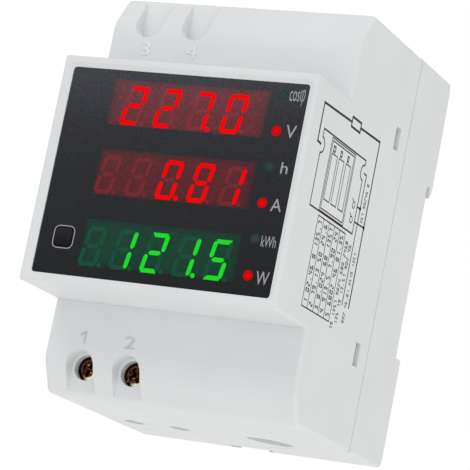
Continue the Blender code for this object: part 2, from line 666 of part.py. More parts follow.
def base_outline():
    """Side view of the base, as (y, z) points: the rail recess with its fixed hook."""
    groove_back = GROOVE_WIDTH - GROOVE_RELIEF
    return [
        (BASE_FRONT_Y, -HALF_HEIGHT),
        (BACK_DEPTH - BACK_CHAMFER_DEPTH, -HALF_HEIGHT),
        (BACK_DEPTH, -HALF_HEIGHT + BACK_CHAMFER_HEIGHT),
        (BACK_DEPTH, RAIL_LOW_Z),
        (0.0, RAIL_LOW_Z),
        (0.0, HOOK_TIP_Z),
        (-GROOVE_RELIEF, HOOK_TIP_Z),
        (-GROOVE_RELIEF, GROOVE_TOP_Z),
        (groove_back, GROOVE_TOP_Z),
        (groove_back, HOOK_TIP_Z + HOOK_LEAD / 2),
        (groove_back + HOOK_LEAD, HOOK_TIP_Z),
        (BACK_DEPTH - HOOK_LEAD, (2 * HOOK_SLOPE_Z + HOOK_TIP_Z) / 3),
        (BACK_DEPTH, HOOK_SLOPE_Z),
        (BACK_DEPTH, HALF_HEIGHT - BACK_CHAMFER_HEIGHT),
        (BACK_DEPTH - BACK_CHAMFER_DEPTH, HALF_HEIGHT),
        (BASE_FRONT_Y, HALF_HEIGHT),
    ]


def base_edge(middle, direction):
    """How far each outer edge of the base is rounded."""
    y, z = middle.y, middle.z
    across = abs(direction.x) > 0.9
    if y < BASE_FRONT_Y + 1e-5:
        return PARTING_EDGE
    if across and abs(z) < HALF_HEIGHT - 1e-5:
        return 0.0
    recess = RAIL_LOW_Z - 1e-5 < z < HOOK_SLOPE_Z - 1e-5 and abs(y) < BACK_DEPTH + 1e-5
    return 0.0 if recess else BEZEL_EDGE


def base_core():
    """The space inside the base, less its bosses and saddles."""
    spaces = new_collection("base_core_spaces", CUTTERS)
    add_cutter(spaces, block("end_space_upper", (-INNER_X, -2 * WALL, GROOVE_TOP_Z + WALL),
                             (INNER_X, BACK_DEPTH - WALL, INNER_Z)))
    channel = LATCH_WIDTH / 2 + LATCH_WING + FIT + WALL
    for low, high in ((-INNER_X, LATCH_X - channel), (LATCH_X + channel, INNER_X)):
        add_cutter(spaces, block("end_space_lower", (low, -2 * WALL, -INNER_Z),
                                 (high, BACK_DEPTH - WALL, RAIL_LOW_Z - WALL)))
    core = block("base_core", (-INNER_X, PARTING_Y - 2 * LAP_HEIGHT, -INNER_Z), (INNER_X, -WALL, INNER_Z))
    boolean(core, "UNION", spaces)
    slots = new_collection("base_core_slots", CUTTERS)
    for sign in (-1, 1):
        add_cutter(slots, cylinder("board_boss", "Y", (BOSS_X, sign * BOSS_Z), BOSS_RADIUS,
                                   MAIN_BOARD_BACK_Y + FIT, PAST, 16))
        for inner in (SADDLE_Z, SADDLE_END_Z):
            low, high = sorted((sign * inner, sign * (inner + SADDLE_THICKNESS)))
            add_cutter(slots, block("saddle", (PASSAGE_X - SADDLE_HALF_WIDTH, PASSAGE_Y, low),
                                    (PASSAGE_X + SADDLE_HALF_WIDTH, BACK_DEPTH, high)))
    boolean(core, "DIFFERENCE", slots)
    return core


def snap_arm(side, sign):
    """A springy arm with a hook that reaches into the cover's side window."""
    inner = SNAP_ARM_X - SNAP_ARM_THICKNESS
    tip = SNAP_FRONT_Y - 2 * FIT
    catch = SNAP_BACK_Y - FIT
    root = BASE_FRONT_Y - LAP_HEIGHT + FIT
    outline = [
        (inner, -WALL * 4), (INNER_X + FIT, -WALL * 4), (INNER_X + FIT, root),
        (SNAP_ARM_X, root - FIT), (SNAP_ARM_X, catch), (SNAP_ARM_X + SNAP_HOOK, catch),
        (SNAP_ARM_X + SNAP_HOOK, catch - SNAP_HOOK_FACE), (SNAP_ARM_X, tip + 2 * FIT),
        (SNAP_ARM_X - FIT, tip), (inner, tip),
    ]
    half = SNAP_WINDOW_HEIGHT / 2 - FIT
    return prism("snap_arm", "Z", [(side * x, y) for x, y in outline],
                 sign * SNAP_Z - half, sign * SNAP_Z + half)


def latch_channel(collection):
    """The T-shaped way in the back of the base that the latch slides in."""
    wide = LATCH_WIDTH / 2 + LATCH_WING + FIT
    narrow = LATCH_WIDTH / 2 + FIT
    low = -HALF_HEIGHT - PAST
    deep = LATCH_Y + LATCH_WING_THICKNESS + FIT
    add_cutter(collection, block("channel_wide", (LATCH_X - wide, CHANNEL_FLOOR_Y, low),
                                 (LATCH_X + wide, deep, LATCH_SHOULDER_Z)))
    add_cutter(collection, block("channel_narrow", (LATCH_X - narrow, CHANNEL_FLOOR_Y, low),
                                 (LATCH_X + narrow, BACK_DEPTH + PAST, LATCH_NOSE_Z + 2 * FIT)))


def make_rear_base():
    base = prism("rear_base", "X", base_outline(), -HALF_WIDTH, HALF_WIDTH, PARTS)
    round_edges(base, BEZEL_EDGE, base_edge, 2)
    lip_x, lip_z = LAP_X - LAP_CLEARANCE, LAP_Z - LAP_CLEARANCE
    lip = block("lap_lip", (-lip_x, BASE_FRONT_Y - LAP_HEIGHT, -lip_z), (lip_x, -2 * WALL, lip_z))
    boolean(base, "UNION", lip)
    boolean(base, "DIFFERENCE", base_core())
    arms = new_collection("base_arms", CUTTERS)
    for side in (-1, 1):
        for sign in (-1, 1):
            add_cutter(arms, snap_arm(side, sign))
    boolean(base, "UNION", arms)
    cuts = new_collection("base_cuts", CUTTERS)
    latch_channel(cuts)
    through_holes(cuts)
    add_cutter(cuts, cylinder("sleeve_way", "Z", (PASSAGE_X, PASSAGE_Y), SADDLE_RADIUS,
                              -INNER_Z, INNER_Z, 40))
    for sign in (-1, 1):
        add_cutter(cuts, cylinder("boss_hole", "Y", (BOSS_X, sign * BOSS_Z),
                                  BOARD_SCREW_RADIUS + SCREW_CLEARANCE,
                                  MAIN_BOARD_BACK_Y, MAIN_BOARD_Y + BOARD_SCREW_LENGTH + FIT, 12))
    boolean(base, "DIFFERENCE", cuts)
    half = SPRING_WINDOW_WIDTH / 2 - FIT
    shelf = block("spring_shelf", (LATCH_X - half, CHANNEL_FLOOR_Y - WALL / 2, SHELF_TOP_Z - SHELF_THICKNESS),
                  (LATCH_X + half, LATCH_Y + LATCH_THICKNESS - FIT, SHELF_TOP_Z))
    boolean(base, "UNION", shelf)
    return paint(base, *WHITE_PLASTIC)


def make_rail_latch():
    """The slider: guide wings, a sloping nose, a window for its spring and a slot for a screwdriver."""
    half = LATCH_WIDTH / 2
    back = LATCH_Y + LATCH_THICKNESS
    nose = back - LATCH_NOSE_THICKNESS
    side_view = [
        (LATCH_Y, LATCH_LOW_Z), (back, LATCH_LOW_Z), (back, LATCH_NOSE_Z - LATCH_LEAD),
        (nose + LATCH_LEAD / 4, LATCH_NOSE_Z), (nose, LATCH_NOSE_Z), (nose, RAIL_LOW_Z - FIT),
        (LATCH_Y, RAIL_LOW_Z - FIT),
    ]
    latch = prism("rail_latch", "X", side_view, LATCH_X - half, LATCH_X + half, PARTS)
    wings = block("latch_wings", (LATCH_X - half - LATCH_WING, LATCH_Y, LATCH_LOW_Z),
                  (LATCH_X + half + LATCH_WING, LATCH_Y + LATCH_WING_THICKNESS, WING_TOP_Z))
    boolean(latch, "UNION", wings)
    low = SHELF_TOP_Z - SHELF_THICKNESS - FIT
    window = block("latch_spring_window",
                   (LATCH_X - SPRING_WINDOW_WIDTH / 2, LATCH_Y - PAST, low),
                   (LATCH_X + SPRING_WINDOW_WIDTH / 2, back + PAST, SPRING_TOP_Z + FIT))
    slot_low = LATCH_LOW_Z + TOOL_SLOT_EDGE
    slot = block("latch_tool_slot", (LATCH_X - half / 2, LATCH_Y - PAST, slot_low),
                 (LATCH_X + half / 2, back + PAST, slot_low + TOOL_SLOT_HEIGHT))
    boolean(latch, "DIFFERENCE", window, slot)
    recentre(latch, (LATCH_X, LATCH_Y, LATCH_LOW_Z))
    return paint(latch, *WHITE_PLASTIC)


def make_latch_spring():
    """A coil that pushes the latch up, away from the base's shelf."""
    low = SHELF_TOP_Z + FIT
    curve = bpy.data.curves.new("latch_spring", "CURVE")
    curve.dimensions = "3D"
    curve.bevel_depth = SPRING_WIRE
    curve.bevel_resolution = 2
    curve.use_fill_caps = True
    per_turn = 8
    count = SPRING_TURNS * per_turn + 1
    spline = curve.splines.new("POLY")
    spline.points.add(count - 1)
    rise = SPRING_LENGTH - 2 * SPRING_WIRE
    for index, point in enumerate(spline.points):
        angle = 2 * math.pi * index / per_turn
        point.co = (SPRING_RADIUS * math.cos(angle), SPRING_RADIUS * math.sin(angle),
                    SPRING_WIRE + rise * index / (count - 1), 1.0)
    spring = add_object("latch_spring", curve, PARTS)
    spring.location = (LATCH_X, LATCH_Y + LATCH_THICKNESS / 2, low)
    return paint(spring, *NICKEL)


# Front panel and what is behind it

def window_z(row):
    """Height of the middle of a window, counted from the top."""
    top = PANEL_TOP_Z - WINDOW_TOP_MARGIN - WINDOW_HEIGHT / 2
    return top - row * (WINDOW_HEIGHT + WINDOW_GAP)


def led_z(index):
    """Each window has two lamps beside it."""
    row, lower = divmod(index, 2)
    half = WINDOW_HEIGHT / 2
    return window_z(row) + (LED_TO_BOTTOM - half if lower else half - LED_TO_TOP)


def make_front_panel():
    outline = rounded_rectangle((PANEL_X, PANEL_Z), (PANEL_WIDTH, PANEL_HEIGHT),
                                PANEL_CORNER - PANEL_CLEARANCE)
    panel = prism("front_panel", "Y", outline, PANEL_FACE_Y, PANEL_BACK_Y, PARTS)
    cuts = new_collection("panel_cuts", CUTTERS)
    front, back = PANEL_FACE_Y - PAST, PANEL_BACK_Y + PAST
    for row in range(3):
        low = window_z(row) - WINDOW_HEIGHT / 2
        add_cutter(cuts, block("window", (WINDOW_X - WINDOW_WIDTH / 2, front, low),
                               (WINDOW_X + WINDOW_WIDTH / 2, back, low + WINDOW_HEIGHT)))
    for index in range(6):
        add_cutter(cuts, cylinder("led_hole", "Y", (LED_X, led_z(index)), LED_RADIUS + LED_CLEARANCE,
                                  front, back, 16))
    hole = BUTTON_SIZE + 2 * BUTTON_CLEARANCE
    add_cutter(cuts, prism("button_hole", "Y",
                           rounded_rectangle((BUTTON_X, BUTTON_Z), (hole, hole),
                                             BUTTON_CORNER + BUTTON_CLEARANCE), front, back))
    boolean(panel, "DIFFERENCE", cuts)
    return paint(panel, *PANEL_BLACK)


def make_filter(name, row, tint):
    """A tinted plate that fills a window, with a tab behind the panel at each end."""
    half_width = WINDOW_WIDTH / 2 - FILTER_CLEARANCE
    half_height = WINDOW_HEIGHT / 2 - FILTER_CLEARANCE
    z = window_z(row)
    back = LEDGE_Y + FILTER_TAB_THICKNESS
    tab = half_width + FILTER_TAB
    outline = [
        (WINDOW_X - half_width, PANEL_FACE_Y), (WINDOW_X + half_width, PANEL_FACE_Y),
        (WINDOW_X + half_width, LEDGE_Y), (WINDOW_X + tab, LEDGE_Y), (WINDOW_X + tab, back),
        (WINDOW_X - tab, back), (WINDOW_X - tab, LEDGE_Y), (WINDOW_X - half_width, LEDGE_Y),
    ]
    return paint(prism(name, "Z", outline, z - half_height, z + half_height, PARTS), *tint)


def make_display(name, row):
    """A seven-segment module: a block with four feet on the board."""
    z = window_z(row)
    back = FRONT_BOARD_Y - FIT
    low = (WINDOW_X - DISPLAY_WIDTH / 2, DISPLAY_Y, z - DISPLAY_HEIGHT / 2)
    high = (WINDOW_X + DISPLAY_WIDTH / 2, back, z + DISPLAY_HEIGHT / 2)
    module = block(name, low, high, PARTS)
    foot = DISPLAY_FOOT
    across = block(name + "_relief_x", (low[0] + foot, back - foot / 2, low[2] - PAST),
                   (high[0] - foot, back + PAST, high[2] + PAST))
    upright = block(name + "_relief_z", (low[0] - PAST, back - foot / 2, low[2] + foot),
                    (high[0] + PAST, back + PAST, high[2] - foot))
    boolean(module, "DIFFERENCE", across, upright)
    return paint(module, *DISPLAY_BODY)


def make_led(index, tint, glow):
    """An indicator lamp on a spacer, with its tip in the panel."""
    tip = FRONT_BOARD_Y - FIT - PANEL_FACE_Y - 0.00003
    shoulder = tip - LED_BODY_LENGTH
    collar = shoulder - LED_COLLAR_HEIGHT
    profile = [
        (0.0, tip), (0.7 * LED_RADIUS, tip - 0.00005),
        (LED_RADIUS, tip - 0.00022), (LED_RADIUS, shoulder), (LED_COLLAR_RADIUS, shoulder),
        (LED_COLLAR_RADIUS, collar), (0.8 * LED_RADIUS, collar), (0.8 * LED_RADIUS, 0.0), (0.0, 0.0),
    ]
    led = turned(f"indicator_led_{index + 1}", profile,
                 (LED_X, FRONT_BOARD_Y - FIT, led_z(index)), steps=16)
    return paint(led, *tint, glow=glow)


def make_push_button():
    """The cap, with a flange that keeps it behind the panel."""
    front = PANEL_FACE_Y - BUTTON_PROUD
    flange_back = LEDGE_Y + BUTTON_FLANGE_THICKNESS
    cap = prism("push_button", "Y",
                rounded_rectangle((BUTTON_X, BUTTON_Z), (BUTTON_SIZE, BUTTON_SIZE), BUTTON_CORNER),
                front, flange_back + BUTTON_STEM, PARTS)
    wide = BUTTON_SIZE + 2 * BUTTON_FLANGE
    flange = prism("button_flange", "Y",
                   rounded_rectangle((BUTTON_X, BUTTON_Z), (wide, wide), BUTTON_CORNER),
                   LEDGE_Y, flange_back)
    boolean(cap, "UNION", flange)
    recentre(cap, (BUTTON_X, front, BUTTON_Z))
    return paint(cap, *BLACK_PLASTIC)


def make_switch():
    """The tactile switch: its body on the board and the plunger that the cap presses."""
    cap_end = LEDGE_Y + BUTTON_FLANGE_THICKNESS + BUTTON_STEM
    back = FRONT_BOARD_Y - FIT
    half = SWITCH_SIZE / 2
    body = block("switch_body", (BUTTON_X - half, back - SWITCH_HEIGHT, BUTTON_Z - half),
                 (BUTTON_X + half, back, BUTTON_Z + half), PARTS)
    tip = cap_end + FIT
    well = cylinder("plunger_well", "Y", (BUTTON_X, BUTTON_Z), PLUNGER_RADIUS + PLUNGER_CLEARANCE,
                    back - SWITCH_HEIGHT - PAST, tip + PLUNGER_LENGTH + BUTTON_TRAVEL + FIT, 24)
    boolean(body, "DIFFERENCE", well)
    paint(body, *BLACK_PLASTIC)
    plunger = cylinder("switch_plunger", "Y", (BUTTON_X, BUTTON_Z), PLUNGER_RADIUS,
                       tip, tip + PLUNGER_LENGTH, 24, PARTS)
    recentre(plunger, (BUTTON_X, tip, BUTTON_Z))
    return body, paint(plunger, *BLACK_PLASTIC)


def make_display_board():
    half_x, half_z = INNER_X - BOARD_EDGE_GAP, INNER_FRONT_Z - BOARD_EDGE_GAP
    board = block("display_board", (-half_x, FRONT_BOARD_Y, -half_z),
                  (half_x, FRONT_BOARD_BACK_Y, half_z), PARTS)
    holes = new_collection("display_board_holes", CUTTERS)
    for side in (-1, 1):
        for sign in (-1, 1):
            add_cutter(holes, cylinder("pin_hole", "Y", (side * POST_X, sign * POST_Z),
                                       POST_PIN_RADIUS + PIN_CLEARANCE,
                                       FRONT_BOARD_Y - PAST, FRONT_BOARD_BACK_Y + PAST, 12))
    boolean(board, "DIFFERENCE", holes)
    return paint(board, *BOARD_GREEN)


def on_board(at):
    """World x and z of a place that is given from the left wall."""
    return at[0] - INNER_X, at[1]


def chip(name, size, at, back):
    """A flat chip that stands on a board, with its back at a given y."""
    x, z = on_board(at)
    part = block(name, (x - size[0] / 2, back - size[1], z - size[2] / 2),
                 (x + size[0] / 2, back, z + size[2] / 2), PARTS)
    bevel = part.modifiers.new("edges", "BEVEL")
    bevel.width = 0.0002
    bevel.segments = 1
    return paint(part, *BLACK_PLASTIC)


def make_board_link():
    """The ribbon between the two boards, bent in an easy S."""
    front, back = FRONT_BOARD_BACK_Y + FIT, ON_BOARD_Y
    steps = 12
    mesh = bpy.data.meshes.new("board_link")
    rows = []
    for index in range(steps + 1):
        share = index / steps
        swing = share * share * (3 - 2 * share)
        rows.append((front + (back - front) * share,
                     RIBBON_FRONT_Z + (RIBBON_BACK_Z - RIBBON_FRONT_Z) * swing))
    mesh.from_pydata([(RIBBON_X - RIBBON_WIDTH / 2, y, z) for y, z in rows],
                     [(i, i + 1) for i in range(steps)], [])
    ribbon = add_object("board_link", mesh, PARTS)
    width = ribbon.modifiers.new("width", "SCREW")
    width.axis = "X"
    width.angle = 0.0
    width.screw_offset = RIBBON_WIDTH
    width.steps = width.render_steps = 1
    thickness = ribbon.modifiers.new("thickness", "SOLIDIFY")
    thickness.thickness = RIBBON_THICKNESS
    thickness.offset = 0.0
    return paint(ribbon, (0.55, 0.55, 0.55), 0.5)


# Main board and what stands on it

def make_main_board():
    left = -(INNER_X - BOARD_EDGE_GAP)
    top = INNER_Z - BOARD_EDGE_GAP
    board = block("main_board", (left, MAIN_BOARD_Y, -top),
                  (MAIN_BOARD_RIGHT_X, MAIN_BOARD_BACK_Y, top), PARTS)
    cuts = new_collection("main_board_cuts", CUTTERS)
    front, back = MAIN_BOARD_Y - PAST, MAIN_BOARD_BACK_Y + PAST
    ring = TRANSFORMER_HEIGHT / 2 + 2 * FIT
    add_cutter(cuts, block("transformer_notch",
                           (PASSAGE_X - TRANSFORMER_RADIUS - BOARD_EDGE_GAP, front, -ring),
                           (PASSAGE_X, back, ring)))
    arm = SNAP_WINDOW_HEIGHT / 2 + FIT
    for sign in (-1, 1):
        add_cutter(cuts, block("arm_notch", (left - PAST, front, sign * SNAP_Z - arm),
                               (-SNAP_ARM_X + SNAP_ARM_THICKNESS + BOARD_EDGE_GAP, back,
                                sign * SNAP_Z + arm)))
        add_cutter(cuts, cylinder("screw_way", "Y", (BOSS_X, sign * BOSS_Z),
                                  BOARD_SCREW_RADIUS + SCREW_CLEARANCE, front, back, 12))
    boolean(board, "DIFFERENCE", cuts)
    return paint(board, *BOARD_GREEN)


def make_board_screw(index, z):
    head, length = BOARD_SCREW_HEAD_HEIGHT, BOARD_SCREW_LENGTH
    profile = [
        (0.0, head), (0.6 * BOARD_SCREW_HEAD_RADIUS, head),
        (BOARD_SCREW_HEAD_RADIUS, 0.5 * head), (BOARD_SCREW_HEAD_RADIUS, 0.0),
        (BOARD_SCREW_RADIUS, 0.0), (BOARD_SCREW_RADIUS, BOARD_SCREW_RADIUS - length),
        (0.3 * BOARD_SCREW_RADIUS, -length), (0.0, -length),
    ]
    screw = turned(f"board_screw_{index}", profile, (BOSS_X, ON_BOARD_Y, z), steps=12)
    return paint(screw, *NICKEL)


def make_smoothing_capacitor():
    """An upright can with a rolled groove near its foot."""
    r, h, groove = CAPACITOR_RADIUS, CAPACITOR_HEIGHT, CAPACITOR_GROOVE
    profile = [
        (0.0, h), (r - CAPACITOR_ROLL, h), (r, h - CAPACITOR_ROLL),
        (r, groove + CAPACITOR_GROOVE_HALF), (0.9 * r, groove), (r, groove - CAPACITOR_GROOVE_HALF),
        (r, CAPACITOR_FOOT), (r - CAPACITOR_FOOT, 0.0), (0.0, 0.0),
    ]
    x, z = on_board(CAPACITOR_AT)
    can = turned("smoothing_capacitor", profile, (x, ON_BOARD_Y, z), steps=20)
    return paint(can, (0.04, 0.06, 0.12), 0.35)


def make_film_capacitor():
    part = chip("film_capacitor", FILM_SIZE, FILM_AT, ON_BOARD_Y)
    part.modifiers["edges"].width = 0.0005
    part.modifiers["edges"].segments = 2
    part.data.materials[0].node_tree.nodes["Principled BSDF"].inputs["Base Color"].default_value = (
        0.75, 0.45, 0.05, 1.0)
    return part


def make_varistor():
    """A round disc on two wire legs."""
    x, z = on_board(VARISTOR_AT)
    centre_y = ON_BOARD_Y - VARISTOR_LIFT - VARISTOR_RADIUS
    half = VARISTOR_THICKNESS / 2
    disc = cylinder("varistor", "Z", (x, centre_y), VARISTOR_RADIUS, z - half, z + half, 20, PARTS)
    for side in (-1, 1):
        leg = cylinder("varistor_leg", "Y", (x + side * VARISTOR_RADIUS * 0.7, z), LEG_RADIUS,
                       centre_y, ON_BOARD_Y, 8)
        boolean(disc, "UNION", leg)
    return paint(disc, (0.02, 0.12, 0.35), 0.4)


def make_fuse_resistor():
    """A resistor that lies along X, on two wire legs."""
    x, z = on_board(RESISTOR_AT)
    y = ON_BOARD_Y - RESISTOR_LIFT - RESISTOR_RADIUS
    half = RESISTOR_LENGTH / 2
    body = cylinder("fuse_resistor", "X", (y, z), RESISTOR_RADIUS, x - half, x + half, 16, PARTS)
    reach = half + 0.0010
    wire = cylinder("resistor_wire", "X", (y, z), LEG_RADIUS, x - reach, x + reach, 8)
    boolean(body, "UNION", wire)
    for side in (-1, 1):
        leg = cylinder("resistor_leg", "Y", (x + side * (reach - LEG_RADIUS), z), LEG_RADIUS,
                       y - LEG_RADIUS / 2, ON_BOARD_Y, 8)
        boolean(body, "UNION", leg)
    return paint(body, (0.45, 0.6, 0.62), 0.45)


# Cable passage

def make_current_transformer():
    r, half, edge = TRANSFORMER_RADIUS, TRANSFORMER_HEIGHT / 2, TRANSFORMER_EDGE
    profile = [(TRANSFORMER_BORE, half), (r - edge, half), (r, half - edge), (r, edge - half),
               (r - edge, -half), (TRANSFORMER_BORE, -half)]
    ring = turned("current_transformer", profile, (PASSAGE_X, PASSAGE_Y, 0.0), False, 40)
    return paint(ring, (0.03, 0.08, 0.3), 0.45)


def make_passage_sleeve():
    end = INNER_Z - FIT
    profile = [(PASSAGE_RADIUS, end), (SLEEVE_RADIUS, end), (SLEEVE_RADIUS, -end),
               (PASSAGE_RADIUS, -end)]
    tube = turned("passage_sleeve", profile, (PASSAGE_X, PASSAGE_Y, 0.0), False, 40)
    return paint(tube, *WHITE_PLASTIC)


def make_lead(index):
    """One lead of the transformer, from its upper face over to the board."""
    middle = (TRANSFORMER_BORE + TRANSFORMER_RADIUS) / 2
    first, angle = (math.radians(LEAD_ANGLE + LEAD_TURN * i) for i in (0, index))
    start = Vector((PASSAGE_X - middle * math.cos(angle), PASSAGE_Y - middle * math.sin(angle),
                    TRANSFORMER_HEIGHT / 2 + FIT))
    apart = LEAD_PITCH * index
    end = Vector((PASSAGE_X - middle * math.cos(first) - LEAD_REACH + apart, ON_BOARD_Y,
                  start.z + LEAD_CLIMB + apart))
    rise = Vector((0.0, 0.0, LEAD_RISE))
    corners = [start, start + rise, start + rise + (end - start) / 3,
               Vector((end.x, end.y - LEAD_RISE, end.z)), end]
    curve = bpy.data.curves.new(f"transformer_lead_{index + 1}", "CURVE")
    curve.dimensions = "3D"
    curve.bevel_depth = LEAD_RADIUS
    curve.bevel_resolution = 2
    curve.use_fill_caps = True
    count = 10
    spline = curve.splines.new("POLY")
    spline.points.add(count - 1)
    for step, point in enumerate(spline.points):
        level = list(corners)
        share = step / (count - 1)
        while len(level) > 1:
            level = [a.lerp(b, share) for a, b in zip(level, level[1:])]
        point.co = (*level[0], 1.0)
    return paint(add_object(curve.name, curve, PARTS), (0.5, 0.5, 0.5), 0.5)


# Terminals

def make_terminal_block():
    """The insulating body of both clamps, with a well and a chamber for each."""
    half = BLOCK_WIDTH / 2
    body = block("terminal_block", (TERMINAL_MIDDLE_X - half, BLOCK_FRONT_Y, -BLOCK_OUTER_Z),
                 (TERMINAL_MIDDLE_X + half, ON_BOARD_Y, -BLOCK_INNER_Z), PARTS)
    cuts = new_collection("terminal_block_cuts", CUTTERS)
    for x in TERMINAL_XS:
        axis = (x, -TERMINAL_Z)
        add_cutter(cuts, cylinder("head_well", "Y", axis, SCREW_HOLE_RADIUS + FIT / 3,
                                  BLOCK_FRONT_Y - PAST, HEAD_SEAT_Y, 20))
        add_cutter(cuts, cylinder("shank_hole", "Y", axis, SHANK_RADIUS + SHANK_CLEARANCE,
                                  HEAD_SEAT_Y - PAST, CHAMBER_FRONT_Y + PAST, 16))
        add_cutter(cuts, block("chamber", (x - CHAMBER_WIDTH / 2, CHAMBER_FRONT_Y,
                                           -TERMINAL_Z - CHAMBER_DEPTH / 2),
                               (x + CHAMBER_WIDTH / 2, ON_BOARD_Y + PAST,
                                CHAMBER_DEPTH / 2 - TERMINAL_Z)))
        add_cutter(cuts, cylinder("wire_hole", "Z", (x - WIRE_SHIFT, WIRE_Y), WIRE_HOLE_RADIUS,
                                  -BLOCK_OUTER_Z - PAST, -TERMINAL_Z, 20))
        slot = TONGUE_WIDTH / 2 + FIT
        add_cutter(cuts, block("tongue_slot", (x - slot, TONGUE_FRONT_Y - FIT, -TERMINAL_Z),
                               (x + slot, TONGUE_BACK_Y + FIT, PAST - BLOCK_INNER_Z)))
    boolean(body, "DIFFERENCE", cuts)
    return paint(body, *BLACK_PLASTIC)


def make_terminal_screw(index, x):
    """A clamping screw with a cross slot. It turns on the spot and draws the cage along."""
    r, h, s, z = HEAD_RADIUS, HEAD_HEIGHT, SHANK_RADIUS, -TERMINAL_Z
    length = PLATE_BACK_Y - HEAD_TOP_Y + FIT / 3
    profile = [
        (0.0, 0.0), (0.86 * r, -0.0001), (r, -0.0004), (r, -h), (s, -h),
        (s, 0.0004 - length), (s - 0.0004, -length), (0.0, -length),
    ]
    screw = turned(f"terminal_screw_{index}", profile, (x, HEAD_TOP_Y, z), steps=20)
    deep = HEAD_TOP_Y + SLOT_DEPTH
    reach = 0.72 * r
    for first, second in ((reach, SLOT_WIDTH / 2), (SLOT_WIDTH / 2, reach)):
        slot = block("cross_slot", (x - first, HEAD_TOP_Y - PAST, z - second),
                     (x + first, deep, z + second))
        boolean(screw, "DIFFERENCE", slot)
    return paint(screw, *ZINC_YELLOW)


def make_clamp_cage(index, x):
    """The frame that rises along the screw and presses the wire on the tongue."""
    half_x, half_z, z = CAGE_WIDTH / 2, CAGE_DEPTH / 2, -TERMINAL_Z
    cage = block(f"clamp_cage_{index}", (x - half_x, PLATE_FRONT_Y, z - half_z),
                 (x + half_x, CAGE_BACK_Y, z + half_z), PARTS)
    gap = half_x - CAGE_WALL
    window = block("cage_window", (x - gap, PLATE_BACK_Y, z - half_z - PAST),
                   (x + gap, PLATE_BACK_Y + CAGE_WINDOW, z + half_z + PAST))
    hole = cylinder("cage_hole", "Y", (x, z), SHANK_RADIUS + SHANK_CLEARANCE,
                    PLATE_FRONT_Y - PAST, PLATE_BACK_Y + PAST, 16)
    boolean(cage, "DIFFERENCE", window, hole)
    recentre(cage, (x, PLATE_FRONT_Y, z))
    return paint(cage, *NICKEL)


def make_contact_tongue(index, x):
    """A strip through the cage's window, bent down to the board beside the block."""
    tip = TERMINAL_Z + CAGE_DEPTH / 2
    leg = BLOCK_INNER_Z - TONGUE_LEG_GAP
    outline = [
        (TONGUE_FRONT_Y, tip), (TONGUE_BACK_Y, tip), (TONGUE_BACK_Y, leg), (ON_BOARD_Y, leg),
        (ON_BOARD_Y, leg - TONGUE_THICKNESS), (TONGUE_FRONT_Y, leg - TONGUE_THICKNESS),
    ]
    strip = prism(f"contact_tongue_{index}", "X", [(y, -z) for y, z in outline],
                  x - TONGUE_WIDTH / 2, x + TONGUE_WIDTH / 2, PARTS)
    return paint(strip, *NICKEL)


def main():
    make_front_cover()
    make_rear_base()
    make_rail_latch()
    make_latch_spring()

    make_front_panel()
    for row, (place, tint) in enumerate((("upper", RED_TINT), ("middle", RED_TINT),
                                         ("lower", GREEN_TINT))):
        colour = "green" if tint is GREEN_TINT else "red"
        make_filter(f"{colour}_filter_{place}", row, tint)
        make_display(f"display_{place}", row)
    for index in range(6):
        lit = index % 2 == 1
        make_led(index, LIT_RED if lit else UNLIT_GREEN, 1.0 if lit else 0.0)
    make_push_button()
    make_switch()
    make_display_board()
    chip("driver_chip", DRIVER_SIZE, DRIVER_AT, FRONT_BOARD_BACK_Y + FIT + DRIVER_SIZE[1])
    make_board_link()

    make_main_board()
    chip("metering_chip", CHIP_SIZE, CHIP_AT, ON_BOARD_Y)
    make_board_screw(1, -BOSS_Z)
    make_board_screw(2, BOSS_Z)
    make_smoothing_capacitor()
    make_film_capacitor()
    make_varistor()
    make_fuse_resistor()
    make_current_transformer()
    make_passage_sleeve()
    for index in range(2):
        make_lead(index)

    make_terminal_block()
    for number, x in enumerate(TERMINAL_XS, start=1):
        make_terminal_screw(number, x)
        make_clamp_cage(number, x)
        make_contact_tongue(number, x)

    def hide(collection):
        for cutter in collection.objects:
            cutter.hide_render = True
            cutter.display_type = "WIRE"
        for child in collection.children:
            hide(child)

    hide(CUTTERS)


main()
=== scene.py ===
"""Looks of the rail-mounted energy meter: materials, readouts, print, light and camera."""

import json
import math
import re

import bmesh
import bpy
from mathutils import Matrix, Vector


